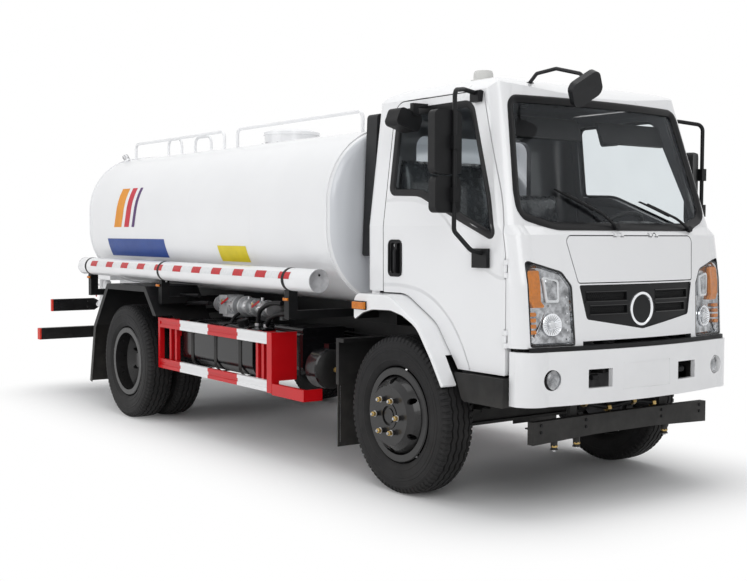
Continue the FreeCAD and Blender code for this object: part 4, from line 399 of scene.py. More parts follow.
class Piece:
    """Gathers small shapes into one mesh. Coordinates in mm from the ground under the front axle."""

    def __init__(self, name, body, mats):
        self.name, self.body, self.mats = name, body, mats
        self.v, self.f, self.m = [], [], []

    def add(self, verts, faces, mat=0):
        k = len(self.v)
        self.v += [Vector(p) for p in verts]
        self.f += [[k + i for i in face] for face in faces]
        self.m += [mat] * len(faces)

    def box(self, x0, x1, y0, y1, z0, z1, mat=0, turn=None):
        vs = [Vector((x, y, z)) for x in (x0, x1) for y in (y0, y1) for z in (z0, z1)]
        if turn:
            mid, rot = (vs[0] + vs[7]) / 2, turn.to_3x3()
            vs = [mid + rot @ (p - mid) for p in vs]
        self.add(vs, [(0, 1, 3, 2), (4, 6, 7, 5), (0, 4, 5, 1), (2, 3, 7, 6), (0, 2, 6, 4), (1, 5, 7, 3)], mat)

    def lathe(self, origin, axis, profile, mat=0, n=28, phase=0.0):
        """profile of (along, radius) turned about axis through origin."""
        o = Vector(origin)
        a = Vector(axis).normalized()
        side = a.orthogonal().normalized()
        up = a.cross(side)
        turns = [phase + 2 * math.pi * i / n for i in range(n)]
        vs = [o + a * d + (side * math.cos(t) + up * math.sin(t)) * r for d, r in profile for t in turns]
        fs = ring_faces(len(profile), n)
        if profile[0][1] > 0.01:
            fs.append(tuple(range(n))[::-1])
        if profile[-1][1] > 0.01:
            fs.append(tuple((len(profile) - 1) * n + i for i in range(n)))
        self.add(vs, fs, mat)

    def cyl(self, origin, axis, r, length, mat=0, n=24):
        e = min(r * 0.12, 3.0)
        self.lathe(origin, axis, [(0, r - e), (e, r), (length - e, r), (length, r - e)], mat, n)

    def nut(self, origin, axis, r, h, mat=0, phase=0.0):
        self.lathe(origin, axis, [(0, r), (h * 0.8, r), (h, r * 0.86)], mat, 6, phase)

    def dome(self, origin, axis, r, h, mat=0, n=24):
        turns = [i * math.pi / 12 for i in range(6)]
        self.lathe(origin, axis, [(h * math.sin(t), r * math.cos(t)) for t in turns] + [(h, 0.0)], mat, n)

    def tube(self, pts, r, mat=0, n=12, bend=40.0):
        """Round bar along the points, its corners rounded off over bend mm."""
        path = round_path([Vector(p) for p in pts], bend)
        vs, up = [], None
        count = len(path)
        for i, p in enumerate(path):
            d = (path[min(i + 1, count - 1)] - path[max(i - 1, 0)]).normalized()
            side = d.cross(up or d.orthogonal().normalized()).normalized()
            up = side.cross(d).normalized()
            for k in range(n):
                t = 2 * math.pi * k / n
                vs.append(p + (up * math.cos(t) + side * math.sin(t)) * r)
        fs = ring_faces(count, n)
        fs += [tuple(range(n))[::-1], tuple((count - 1) * n + k for k in range(n))]
        self.add(vs, fs, mat)

    def grid(self, rows, mat=0, wrap=False):
        """Skin through rows of points; wrap joins the last row to the first."""
        w = len(rows[0])
        fs = []
        for j in range(len(rows) if wrap else len(rows) - 1):
            j2 = (j + 1) % len(rows)
            fs += [(j * w + i, j * w + i + 1, j2 * w + i + 1, j2 * w + i) for i in range(w - 1)]
        self.add([p for row in rows for p in row], fs, mat)

    def done(self, bevel=0.0, smooth=35.0):
        """Makes the object, rounds its edges by bevel mm and lets it ride its body."""
        mesh = bpy.data.meshes.new(self.name)
        mesh.from_pydata([P(*p) for p in self.v], [], self.f)
        for key in self.mats:
            mesh.materials.append(M[key])
        mesh.polygons.foreach_set("material_index", self.m)
        mesh.update()
        ob = new_object(self.name, mesh)
        clean(mesh)
        mesh.polygons.foreach_set("use_smooth", [True] * len(mesh.polygons))
        mesh.set_sharp_from_angle(angle=math.radians(smooth))
        if bevel > 0:
            b = ob.modifiers.new("edge", "BEVEL")
            b.width = bevel / 1000
            b.segments = 2
            b.limit_method = "ANGLE"
            b.angle_limit = math.radians(40)
            b.harden_normals = True
        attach(ob, self.body)
        return ob


def round_path(pts, bend, steps=6):
    out = [pts[0]]
    for before, p, after in zip(pts, pts[1:], pts[2:]):
        a, b = before - p, after - p
        cut = min(bend, a.length * 0.45, b.length * 0.45)
        s, e = p + a.normalized() * cut, p + b.normalized() * cut
        for k in range(steps + 1):
            t = k / steps
            out.append(s * (1 - t) ** 2 + p * 2 * t * (1 - t) + e * t * t)
    return out + [pts[-1]]


def outline(points, radii, per=6, spacing=None):
    """Closed 2-D outline with rounded corners, evenly divided along its runs."""
    n = len(points)
    out = []
    for i in range(n):
        p = Vector(points[i])
        a = Vector(points[i - 1]) - p
        b = Vector(points[(i + 1) % n]) - p
        half = a.angle(b) / 2
        cut = min(radii[i] / math.tan(half), 0.45 * a.length, 0.45 * b.length)
        s, e = p + a.normalized() * cut, p + b.normalized() * cut
        r = cut * math.tan(half)
        cen = p + (a.normalized() + b.normalized()).normalized() * (r / math.sin(half))
        va, vb = s - cen, e - cen
        ang = va.angle_signed(vb)
        for k in range(per + 1):
            out.append(cen + Matrix.Rotation(-ang * k / per, 2) @ va)
    if spacing:
        dense = []
        for p, q in zip(out, out[1:] + out[:1]):
            m = max(1, int((q - p).length / spacing))
            dense += [p.lerp(q, k / m) for k in range(m)]
        out = dense
    return out


def offset(loop, d):
    """Loop moved outward by d (the loop's centre is inside)."""
    n = len(loop)
    area = sum(loop[i].x * loop[(i + 1) % n].y - loop[(i + 1) % n].x * loop[i].y for i in range(n))
    s = 1 if area > 0 else -1
    out = []
    for i in range(n):
        t = loop[(i + 1) % n] - loop[i - 1]
        if t.length < 1e-6:
            t = loop[(i + 2) % n] - loop[i - 2]
        t.normalize()
        out.append(loop[i] + Vector((t.y, -t.x)) * (s * d))
    return out


def skin(*names):
    """Surface of CAD nodes, as a function that gives the first hit along a direction and its normal."""
    vs, fs = [], []
    for n in names:
        k = len(vs)
        me = NODES[n].data
        vs += [v.co.copy() for v in me.vertices]
        fs += [[k + i for i in p.vertices] for p in me.polygons]
    tree = BVHTree.FromPolygons(vs, fs)

    def hit(point, direction):
        d = Vector(direction).normalized()
        loc, nor, _, _ = tree.ray_cast(P(*point) - d * 12.0, d)
        if loc is None:
            return None, None
        return Vector(((loc.x - AXLE_X) * 1000, loc.y * 1000, loc.z * 1000)), nor
    return hit


# ---------------------------------------------------------------- tyres
HUB_Z = 487         # height of the axles, mm
STUD_RING = 111     # radius of the circle of wheel studs


def tyre(name, body, y_mid, x, width):
    """Revolved tyre: four zigzag grooves, shoulder lugs, bead and sidewall rings."""
    r = TYRE_R * 1000
    w = width / 2
    bead = 292
    # inner sidewall from bead to shoulder: share of the half width, height above the bead or below the crown
    wall = ((0.62, 4), (0.78, 8), (0.90, 24), (0.955, 44), (0.962, 46), (0.950, 50), (0.985, 72), (0.998, 92),
            (0.985, 95), (0.998, 98), (1.0, 112), (0.975, 116), (0.985, 122), (0.955, 140), (0.965, 143))
    shoulder = ((0.915, 40), (0.885, 28), (0.85, 15), (0.80, 10), (0.73, 5.5))
    half = [(-w * k, bead + h) for k, h in wall] + [(-w * k, r - h) for k, h in shoulder]
    crown = []
    for g in (-0.52, -0.18, 0.18, 0.52):
        c = w * g
        top = r - 0.5 - 5 * (c / 91) ** 2
        crown += [(c - 6, top, True), (c - 4, r - 13, True), (c + 4, r - 13, True), (c + 6, top, True)]
    prof = [(y, z, False) for y, z in half] + crown + [(-y, z, False) for y, z in half[::-1]]
    n = 480
    vs, fs = [], []
    for i in range(n):
        t = 2 * math.pi * i / n
        zig = (abs((i % 12) - 6) - 3) * 1.6
        cut = (i % 6) in (0, 1)
        for py, pr, groove in prof:
            if groove:
                py += zig
            elif cut and pr > r - 40:
                pr -= 8 if pr > r - 6 else 6
                py *= 0.955
            vs.append(Vector((x + pr * math.sin(t), y_mid + py, r + pr * math.cos(t))))
    m = len(prof)
    for i in range(n):
        i2 = (i + 1) % n
        fs += [(i * m + j, i * m + j + 1, i2 * m + j + 1, i2 * m + j) for j in range(m - 1)]
    p = Piece(name, body, ["tyre"])
    p.add(vs, fs)
    return p.done(smooth=28)


REAR = ((REAR_LO.x + REAR_HI.x) / 2 - AXLE_X) * 1000
TYRE_W = (WHEEL_HI.y - WHEEL_LO.y) * 1000
for side, s in SIDES:
    lo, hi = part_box("front_tyre_" + side)
    ob = tyre("front_tread_" + side, "front_road_wheel_" + side, (lo.y + hi.y) * 500, 0, TYRE_W)
    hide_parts("front_tyre_" + side)
    lo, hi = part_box("rear_tyres_" + side)
    inner, outer = sorted((abs(lo.y) * 1000, abs(hi.y) * 1000))
    for which, y in (("outer", outer - TYRE_W / 2), ("inner", inner + TYRE_W / 2)):
        ob = tyre("rear_tread_%s_%s" % (which, side), "rear_twin_wheels_" + side, s * y, REAR, TYRE_W)
        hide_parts("rear_tyres_" + side)


def wheel_trim():
    """Studs and nuts of the wheels: brass nuts on washers in front, steel nuts behind."""
    for side, s in SIDES:
        for where, body, mid, metal, nut, stud in (("front", "front_road_wheel_", 0, "brass", 3, 20),
                                                   ("rear", "rear_twin_wheels_", REAR, "steel", -2, 17)):
            p = Piece("wheel_nuts_%s_%s" % (where, side), body + side, [metal, "steel"])
            hit = skin(where + "_wheel_" + side)
            for k in range(6):
                t = math.radians(60 * k + 30)
                x, z = mid + STUD_RING * math.sin(t), HUB_Z + STUD_RING * math.cos(t)
                y = hit((x, 0, z), (0, -s, 0))[0].y
                if where == "front":
                    p.lathe((x, y - s * 2, z), (0, s, 0), [(0, 19), (5, 19), (6, 15.5)], 1, 20)
                p.nut((x, y + s * nut, z), (0, s, 0), 16.5, 20, 0, t)
                p.cyl((x, y + s * stud, z), (0, s, 0), 9, 11, 1, 14)
            p.done(bevel=0.8)


wheel_trim()


# ---------------------------------------------------------------- cab outside
CAB_BACK = 78            # the cab's own drawing starts this far ahead of where it sits
SCREEN = ([(-577, 1640), (-784, 1700), (-780, 1830), (-702, 2366),      # windscreen corners (y, z), then radii
           (702, 2366), (780, 1830), (784, 1700), (577, 1640)],
          [260, 130, 300, 60, 60, 300, 130, 260])
WINDOW = ([(812, 1577), (748, 1797), (518, 2348), (-165, 2348), (-165, 1853), (121, 1843)],     # the same in x, z
          [16, 900, 90, 60, 40, 300])
LAMP = [(-823, 968), (-835, 1452), (-596, 1384), (-535, 1300), (-521, 968)]


front_hit = skin("cab_front")
face_hit = skin("cab_front", "front_flap", "grille")
glass_hit = skin("cab_glass")


def seal(name, body, ends, section, lift):
    """Rubber section swept round a pane. ends pairs the points on the panel and on the glass; each row of
    section gives the share of the way back to the panel, and a height that lift(point, height) makes a shift."""
    rows = []
    for k, h in section:
        line = [pa * k + pb * (1 - k) for pa, pb in ends]
        rows.append(closed(q + lift(q, h) for q in line))
    p = Piece(name, body, ["rubber"])
    p.grid(rows)
    clean(p.done(smooth=60).data, SEAM)


def screen_seal():
    loop = outline(*SCREEN, per=10, spacing=40)
    ends = []
    for a, b in zip(offset(loop, 26), offset(loop, -22)):
        pa, _ = front_hit((0, a.x, a.y), (-1, 0, 0))
        pb, _ = glass_hit((0, b.x, b.y), (-1, 0, 0))
        if pa is None or pa.x < 500:
            pa = Vector((pb.x, a.x, a.y))
        if pb is None:
            pb = Vector((pa.x, b.x, b.y))
        ends.append((pa, pb))
    seal("windscreen_seal", "cab", ends,
         [(1.0, -1.0), (0.98, 5.0), (0.75, 9.0), (0.50, 10.0), (0.22, 8.0), (0.04, 4.0), (0.0, -6.0)],
         lambda q, h: Vector((h, math.copysign(min(abs(q.y) / 3700, 0.6) * h, q.y), 0)))


def window_seal(side, s):
    loop = outline(*WINDOW, per=10, spacing=40)
    door = skin("door_" + side)
    glass = skin("door_glass_" + side)
    ends = []
    for a, b in zip(offset(loop, 24), offset(loop, -20)):
        pa, _ = door((a.x - CAB_BACK, 0, a.y), (0, -s, 0))
        pb, _ = glass((b.x - CAB_BACK, 0, b.y), (0, -s, 0))
        if pa is None or abs(pa.y) < 600:
            pa = Vector((a.x - CAB_BACK, (pb or pa).y, a.y))
        if pb is None:
            pb = Vector((b.x - CAB_BACK, pa.y - s * 12, b.y))
        ends.append((pa, pb))
    seal("window_seal_" + side, "door_assembly_" + side, ends,
         [(1.0, -1.0), (0.98, 4.0), (0.7, 6.5), (0.35, 5.5), (0.04, 3.0), (0.0, -5.0)],
         lambda q, h: Vector((0, s * h, 0)))


def door_fittings(side, s):
    """Recessed pull: rounded bezel, dark cup, a bowed grip standing in the cup and the lock barrel above it."""
    p = Piece("door_trim_" + side, "door_assembly_" + side, ["plastic", "black_gloss", "steel"])
    x, z0, z1, w = -95 - CAB_BACK, 1326, 1552, 68
    face = skin("door_" + side)((x, 0, 1590), (0, -s, 0))[0].y
    ring = outline([(x - w, z0), (x + w, z0), (x + w, z1), (x - w, z1)], [34] * 4, per=6)

    def line(d, h):
        return closed(Vector((q.x, face + s * h, q.y)) for q in offset(ring, d))
    p.grid([line(d, h) for d, h in ((3, 0.0), (2, 5.0), (-3, 6.5), (-7, 5.0), (-9, 1.2))], 0)
    p.grid([line(-9, 1.2), line(-15, -9)], 1)
    a, b = Vector((x + 10, face, z0 + 26)), Vector((x + 10, face, z1 - 60))
    root, low, high = Vector((0, s * 12, 0)), Vector((0, s * 10, 10)), Vector((0, s * 10, -10))
    p.tube([a - root, a + low, (a + b) / 2 + Vector((8, s * 14, 0)), b + high, b - root], 12, 0, 12, 26)
    p.cyl((x + 4, face - s * 10, z1 - 34), (0, s, 0), 15, 12, 2, 24)
    p.done(bevel=0.6)


def wipers():
    p = Piece("wipers", "cab", ["plastic", "rubber"])
    for py, pz, ty, tz in ((-137, 1668, -496, 1836), (549, 1658, 157, 1782)):
        base, _ = face_hit((0, py, pz - 44), (-1, 0, 0))
        tip = Vector((0, ty, tz))
        d = tip - Vector((0, py, pz))
        steps = []
        for k in range(13):
            t = k / 12
            y, z = py + d.y * t, pz + d.z * t
            g, _ = glass_hit((0, y, z), (-1, 0, 0))
            gx = g.x if g is not None else base.x - 20
            steps.append(Vector((gx, y, z)))
        p.cyl((base.x - 6, py, pz - 38), (1, 0, 0.35), 20, 30, 0, 20)
        p.cyl((base.x - 8, py, pz - 38), (1, 0, 0.35), 27, 10, 0, 24)
        arm = [steps[k] + Vector((lift, 0, 0)) for k, lift in ((3, 34), (9, 30), (11, 26))]
        p.tube([Vector((base.x + 14, py, pz - 34))] + arm, 8.5, 0, 8, 30)
        mid = steps[9] - Vector((0, 0, 6))
        # blade runs across the arm's end, along the glass
        along = Vector((0, d.y, d.z)).normalized()
        blade = []
        for k in range(-8, 9):
            q = mid + along * (k * 17)
            g, _ = glass_hit((0, q.y, q.z), (-1, 0, 0))
            if g is not None:
                blade.append(Vector((g.x + 4, q.y, q.z)))
        across = along.cross(Vector((1, 0, 0))).normalized()
        section = ((2, 0), (9, 2.5), (16, 5), (18, 0), (16, -5), (9, -2.5))
        p.grid([[b + Vector((up, 0, 0)) + across * w for b in blade] for up, w in section], 1, wrap=True)
        back = ((0, 20), (len(blade) // 3, 27), (2 * len(blade) // 3, 27), (-1, 20))
        p.tube([blade[k] + Vector((up, 0, 0)) for k, up in back], 5.5, 0, 8, 60)
    p.done(bevel=0)


def headlamp(side, s):
    hit = skin("headlamps")

    def at(y, z, depth=0.0):
        """Point this deep behind the lamp's outer face."""
        q, n = hit((0, s * abs(y), z), (-1, 0, 0))
        return None if q is None else q - n * depth
    ring = outline(LAMP, [8, 60, 60, 60, 8], per=6, spacing=25)
    inner = offset(ring, -9)
    zmid, ymid = 1195, -680

    def shrink(k):
        return [Vector((ymid + (q.x - ymid) * k, zmid + (q.y - zmid) * k)) for q in inner]

    def line(loop, depth):
        out = []
        for q in loop:
            v = at(q.x, q.y, depth)
            if v is None:
                v = at(ymid + (q.x - ymid) * 0.97, zmid + (q.y - zmid) * 0.97, depth)
            out.append(v)
        return closed(out)
    # dark rim, chrome bowl behind, clear cover over it
    p = Piece("lamp_housing_" + side, "cab", ["black_gloss", "housing", "plastic"])
    rim = ((offset(ring, -1), -0.4), (offset(ring, -5), -1.6), (inner, -0.6), (shrink(0.985), 3))
    p.grid([line(loop, depth) for loop, depth in rim], 0)
    rows = [line(shrink(0.985), 3), line(shrink(0.97), 16), line(shrink(0.93), 24)]
    p.grid(rows, 1)
    for k0, k1, d0, d1 in ((0.93, 0.7, 24, 26), (0.7, 0.45, 26, 27), (0.45, 0.2, 27, 27), (0.2, 0.02, 27, 27)):
        p.grid([line(shrink(k0), d0), line(shrink(k1), d1)], 1)
    clean(p.done(smooth=50).data, SEAM)
    p = Piece("lamp_optics_" + side, "cab", ["amber", "housing", "chrome", "white_lens", "black_gloss"])

    def pad(poly, mat, d0, d1, r=10):
        lp = outline([(-a, b) for a, b in poly], [r] * len(poly), per=4, spacing=22)
        top = [at(q.x, q.y, d1) for q in lp]
        base = [at(q.x, q.y, d0) for q in lp]
        mid = [at(q.x, q.y, d1) for q in offset(lp, -5)]
        if any(v is None for v in top + base + mid):
            return
        mid = [m + (t - b).normalized() * 3 for m, t, b in zip(mid, top, base)]
        p.grid([closed(base), closed(top), closed(mid)], mat)
        n = len(mid)
        cen = sum(mid, Vector()) / n
        p.add(mid + [cen], [(i, (i + 1) % n, n) for i in range(n)], mat)
    pad([(826, 1392), (740, 1392), (738, 1216), (706, 1186), (792, 1186), (826, 1236)], 0, 26, 8)
    pad([(721, 1362), (612, 1338), (612, 1212), (700, 1212)], 3, 26, 16, 14)
    pad([(706, 1348), (628, 1328), (628, 1226), (690, 1226)], 1, 26, 12, 12)
    for k in range(4):
        z = 1150 - k * 33
        pad([(824, z + 11), (770, z + 11), (770, z - 11), (824, z - 11)], 0, 26, 7, 8)
    # ribbed round reflector with its bulb shield, and the small parking lens
    for cy, cz, r, mat in ((664, 1088, 64, 2), (806, 1012, 18, 3)):
        c = at(cy, cz, 24)
        ax = (at(cy, cz, 0) - c).normalized()
        bowl = [(0, r), (12, r), (14, r - 3), (12, r - 8), (6, r * 0.62), (2, r * 0.34), (2, 0.0)]
        p.lathe(c, ax, bowl, mat, 48)
        if r > 30:
            p.lathe(c + ax * 2, ax, [(0, 20), (10, 20), (15, 12), (16, 0)], 3, 24)
            across = ax.orthogonal().normalized()
            up = ax.cross(across)
            for k in range(24):
                t = 2 * math.pi * k / 24
                way = across * math.cos(t) + up * math.sin(t)
                p.tube([c + ax * 5 + way * 24, c + ax * 12 + way * (r - 8)], 1.2, 1, 5)
    for k in range(6):
        q = at(560, 1010 + k * 46, 20)
        n = (at(560, 1010 + k * 46, 0) - q).normalized()
        p.dome(q, n, 6, 4, 3, 12)
    p.done(bevel=0)
    # the clear cover follows the lamp's face
    cover = Piece("lamp_cover_" + side, "cab", ["lens"])
    rows = [line(inner, 0.0)] + [line(shrink(k), -0.2) for k in (0.97, 0.85, 0.7, 0.5, 0.3, 0.1, 0.01)]
    cover.grid(rows)
    clean(cover.done(smooth=60).data, SEAM)


def grille_trim():
    p = Piece("grille_mesh", "cab", ["plastic", "black_gloss"])
    hit = skin("grille")
    for s in (1, -1):
        for y0, y1, z0, z1 in ((121, 438, 1216, 1262), (121, 410, 1142, 1184)):
            pitch, y = 15.0, y0 - 40
            while y < y1:
                for lean in (0.6, -0.6):
                    ya, yb = y, y + (z1 - z0) * lean
                    if min(ya, yb) < y0 or max(ya, yb) > y1:
                        continue
                    q, _ = hit((0, s * (ya + yb) / 2, z1 + 16), (-1, 0, 0))
                    x = q.x - 9
                    p.tube([(x, s * ya, z0), (x, s * yb, z1)], 1.7, 0, 4)
                y += pitch
            # raised lip along the bottom and top of each opening
            for zz, rr in ((z0 - 5, 4), (z1 + 5, 4)):
                pts = []
                for k in range(9):
                    yy = y0 + (y1 - y0) * k / 8
                    q, _ = hit((0, s * yy, zz + (6 if zz > z1 else -6)), (-1, 0, 0))
                    pts.append((q.x + 0.5, s * yy, zz))
                p.tube(pts, rr, 1, 8)
    p.done(bevel=0)
    p = Piece("badge_ring", "cab", ["chrome", "plastic", "steel"])
    c = (1012, 0, 1160)
    p.lathe(c, (1, 0, 0), [(0, 100), (26, 101), (33, 98), (36, 92), (34, 84), (26, 79), (10, 78)], 0, 72)
    p.lathe(c, (1, 0, 0), [(8, 80), (12, 79), (14, 60), (16, 40), (17, 0)], 1, 72)
    p.lathe((c[0] + 14, 0, 1160), (1, 0, 0), [(0, 50), (4, 50), (6, 47), (6, 44), (2, 42)], 2, 64)
    p.done(smooth=40)


def bumper_trim():
    p = Piece("bumper_trim", "chassis", ["housing", "white_lens", "plastic", "brass", "lens", "steel"])
    hit = skin("front_bumper")
    for s in (1, -1):
        edge, _ = hit((0, s * 684, 860), (-1, 0, 0))
        ax = Vector((1, s * 0.18, 0)).normalized()
        o = Vector((edge.x, s * 684, 786)) - ax * 34
        p.lathe(o, ax, [(0, 0), (1, 20), (6, 38), (20, 50), (27, 52), (29, 56), (24, 57.5)], 0, 48)
        p.lathe(o + ax * 19, ax, [(0, 50), (4, 44), (7, 25), (8, 0)], 4, 40)
        p.lathe(o + ax * 4, ax, [(0, 15), (9, 14), (13, 8), (14, 0)], 1, 24)
        # tow eye behind each window
        p.cyl((1020, s * 373 - 24, 781), (0, 1, 0), 18, 48, 2, 20)
    # frame of the blank plate: thin lip round the recess
    ring = outline([(-205, 701), (205, 701), (205, 863), (-205, 863)], [14] * 4, per=4, spacing=60)
    rows = []
    for d, h in ((0, 0.0), (-1.5, 0.36), (-5, 0.36), (-6.5, 0.0)):
        line = []
        for q in offset(ring, d + 3):
            g, _ = hit((0, q.x, q.y + (12 if q.y > 782 else -12)), (-1, 0, 0))
            line.append(Vector((g.x + h - 0.4, q.x, q.y)))
        rows.append(closed(line))
    p.grid(rows, 2)
    p.done(bevel=0)
    # dark filler between the front panel and the bumper
    p = Piece("bumper_gap_filler", "chassis", ["plastic"])
    rows = [[], [], [], []]
    for k in range(-14, 15):
        y = k * 60
        g, _ = hit((0, y, 930), (-1, 0, 0))
        x = g.x if g else 1000
        for row, (dx, z) in zip(rows, ((-60, 938), (-14, 940), (-16, 966), (-60, 968))):
            row.append((x + dx, y, z))
    p.grid(rows, wrap=True)
    p.done()


def spray_trim():
    p = Piece("spray_nozzles", "chassis", ["steel", "brass", "white_lens", "plastic"])
    for y in (-565, -385, 385):
        p.cyl((903, y, 408), (0, 0, -1), 17, 16, 0, 20)
        p.nut((903, y, 394), (0, 0, -1), 21, 14, 1)
        p.lathe((903, y, 380), (0, 0, -1), [(0, 15), (10, 17), (14, 13), (22, 9), (23, 5)], 2, 20)
    # supply hose with brass unions, hanging behind the bar
    hose = [(870, 300, 560), (868, 120, 590), (868, -80, 560), (872, -300, 610), (800, -420, 640)]
    p.tube(hose, 15, 3, 12, 80)
    for y, z in ((310, 556), (130, 586), (-90, 562), (-290, 606)):
        p.nut((871, y - 16, z), (0, 1, 0), 22, 32, 1)
    for y in (-330, 330, -690, 690):
        p.nut((926, y, 520), (1, 0, 0), 10, 7, 3)
        p.nut((926, y, 480), (1, 0, 0), 10, 7, 3)
    p.done(bevel=0.6)


def mirror_glasses():
    """Silvered plates in the rear faces of the four heads; the left heads are turned towards the driver."""
    heads = {"right": ((-1, 1096, 1925, 2282, 92, 0), (-1, 1096, 1709, 1914, 86, 0)),
             "left": ((1, 978, 1852, 2132, 92, 28), (1, 992, 1672, 1834, 78, 28))}
    for side, rows_of in heads.items():
        p = Piece("mirror_faces_" + side, "door_assembly_" + side, ["mirror", "rubber"])
        for s, yc, z0, z1, half, turn in rows_of:
            pivot = Vector((579, s * (yc + 94 if turn else yc), 0))
            rot = Matrix.Rotation(math.radians(turn), 3, "Z")
            y0, y1, z0, z1 = yc - half, yc + half, z0 + 8, z1 - 8
            loop = outline([(y0, z0), (y1, z0), (y1, z1), (y0, z1)], [32] * 4, per=6)

            def put(v, h):
                q = Vector((523 - h, s * v.x, v.y))
                return pivot + rot @ (q - pivot) if turn else q
            p.grid([closed(put(v, h) for v in offset(loop, d))
                    for d, h in ((0, -1), (-2, 2.0), (-6, 2.6), (-9, 1.4))], 1)
            face = [put(v, 1.3) for v in offset(loop, -9)]
            p.add(face, [tuple(range(len(face)))], 0)
        p.done()


screen_seal()
for side, s in SIDES:
    window_seal(side, s)
    door_fittings(side, s)
wipers()
for side, s in SIDES:
    headlamp(side, s)
NODES["headlamps"].data.materials.clear()
NODES["headlamps"].data.materials.append(M["housing"])
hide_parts("headlamps")
grille_trim()
bumper_trim()
spray_trim()
mirror_glasses()


# ---------------------------------------------------------------- chassis, tank and pump details
TUBE_RED = (-4340, -3990, -3665, -3330, -2988, -2647, -2319, -1997, -1666, -1344, -1030)
TUBE_BANDS = (-4532, -2990, -1044)
TUBE_Y, TUBE_Z = 1111, 1280     # middle line of the locker tubes
TANK_ENDS = ((-706, 1), (-4740, -1))
TANK_Z = 1708


def on_tube(x, r, t, s):
    return x, s * (TUBE_Y + r * math.cos(t)), TUBE_Z + r * math.sin(t)


def locker_tubes():
    """Reflecting tape, clamps and end caps of the two hose lockers beside the tank."""
    p = Piece("locker_trim", "chassis", ["tape_red", "tape_white", "plastic", "steel"])

    def tape(x0, x1, r, s, mat):
        turns = [math.radians(4 + 38 * k / 8) for k in range(9)]
        p.grid([[on_tube(x, r, t, s) for x in (x0, x1)] for t in turns], mat)
    for s in (-1, 1):
        for x in TUBE_RED:
            tape(x - 70, x + 70, 79.2, s, 0)
        for a, b in zip(TUBE_RED, TUBE_RED[1:]):
            tape(a + 72, b - 72, 78.8, s, 1)
        for x in TUBE_BANDS:
            section = ((x - 17, 78.2), (x - 16, 80.4), (x + 16, 80.4), (x + 17, 78.2))
            p.grid([[on_tube(xx, r, 2 * math.pi * k / 32, s) for xx, r in section] for k in range(33)], 2)
            p.nut((x, s * TUBE_Y, 1203), (0, 0, -1), 9, 14, 3)
        for x, d in ((-711, 1), (-4709, -1)):
            cap = [(0, 78), (2.5, 79.4), (5, 77), (5, 70), (3, 66), (3, 0)]
            p.lathe((x, s * TUBE_Y, TUBE_Z), (d, 0, 0), cap, 3, 40)
            p.cyl((x + d * 3, s * TUBE_Y, 1318), (d, 0, 0), 8, 4, 2, 16)
    p.done(bevel=0, smooth=40)


def tank_panels():
    """Blank colour panels and a plain stripe design on the tank's flanks."""
    p = Piece("tank_panels", "chassis", ["blue", "yellow", "m_orange", "m_red", "m_violet"])
    hit = skin("tank")

    def panel(x0, x1, z0, z1, mat, slant=0.0, nx=10, nz=6):
        for s in (-1, 1):
            rows = []
            for j in range(nz + 1):
                z = z0 + (z1 - z0) * j / nz
                row = []
                for i in range(nx + 1):
                    x = x0 + (x1 - x0) * i / nx + slant * (z - z0)
                    q, out = hit((x, 0, z), (0, -s, 0))
                    row.append(q + out * 1.2)
                rows.append(row)
            p.grid(rows, mat)
    panel(-4345, -3167, 1384, 1538, 0)
    panel(-2248, -1808, 1376, 1496, 1)
    # three plain slanted bars beside the blank name area
    for x0, x1, mat in ((-4180, -4020, 2), (-3960, -3860, 3), (-3800, -3745, 4)):
        panel(x0, x1, 1640, 1980, mat, 0.35)
    p.done(smooth=60)


def tank_fittings():
    p = Piece("tank_fittings", "chassis", ["white", "steel", "chassis", "red_lens", "plastic"])
    hit = skin("tank")
    # rim ring round each dished head
    for x, ahead in TANK_ENDS:
        loop = []
        for k in range(72):
            t = 2 * math.pi * k / 72
            d = Vector((0, math.cos(t), math.sin(t)))
            q, _ = hit((x - ahead * 24, d.y, TANK_Z + d.z), -d)
            loop.append((q, d))
        p.grid([closed(q + Vector((ahead * dx, 0, 0)) + d * h for q, d in loop)
                for dx, h in ((-20, -1), (-18, 4), (12, 4), (16, -1))], 0)
    # manhole collar bolts
    for k in range(12):
        t = 2 * math.pi * k / 12
        p.nut((-2844 + 250 * math.cos(t), 250 * math.sin(t), 2340), (0, 0, 1), 11, 18, 1)
    # small lamp on the rear shoulder
    q, _ = hit((-4690, -700, 0), (0, 0, -1))
    lean = (-0.35, -0.5, 1)
    p.cyl((q.x, q.y, q.z - 6), lean, 34, 20, 0, 24)
    p.lathe((q.x, q.y, q.z + 8), lean, [(0, 28), (40, 30), (54, 24), (60, 0)], 1, 28)
    p.done(bevel=1.2)
    ladder = Piece("rear_ladder", "chassis", ["white"])
    for y in (320, 640):
        ladder.tube([(-4900, y, 1230), (-4910, y, 2300), (-4820, y, 2395)], 15, 0, 12, 70)
    for k in range(5):
        ladder.tube([(-4907, 318, 1330 + 230 * k), (-4907, 642, 1330 + 230 * k)], 11, 0, 10)
    for y in (320, 640):
        for z in (1380, 1900):
            ladder.tube([(-4904, y, z), (-4815, y, z)], 9, 0, 8)
    ladder.done()


LAMP_MATS = ["amber", "red_lens", "white_lens", "chrome", "plastic"]


def marker(p, x, y, z, s, w=66, h=26):
    """Side marker lamp: black base, amber lens and its ribs."""
    x0, x1, z0, z1 = x - w / 2, x + w / 2, z - h / 2, z + h / 2
    p.box(x0, x1, s * y, s * (y + 7), z0, z1, 4)
    p.box(x0 + 4, x1 - 4, s * (y + 6), s * (y + 17), z0 + 4, z1 - 4, 0)
    for k in range(5):
        rib = x0 + 10 + k * (w - 20) / 4
        p.box(rib - 1.2, rib + 1.2, s * (y + 16), s * (y + 18.2), z0 + 6, z1 - 6, 0)


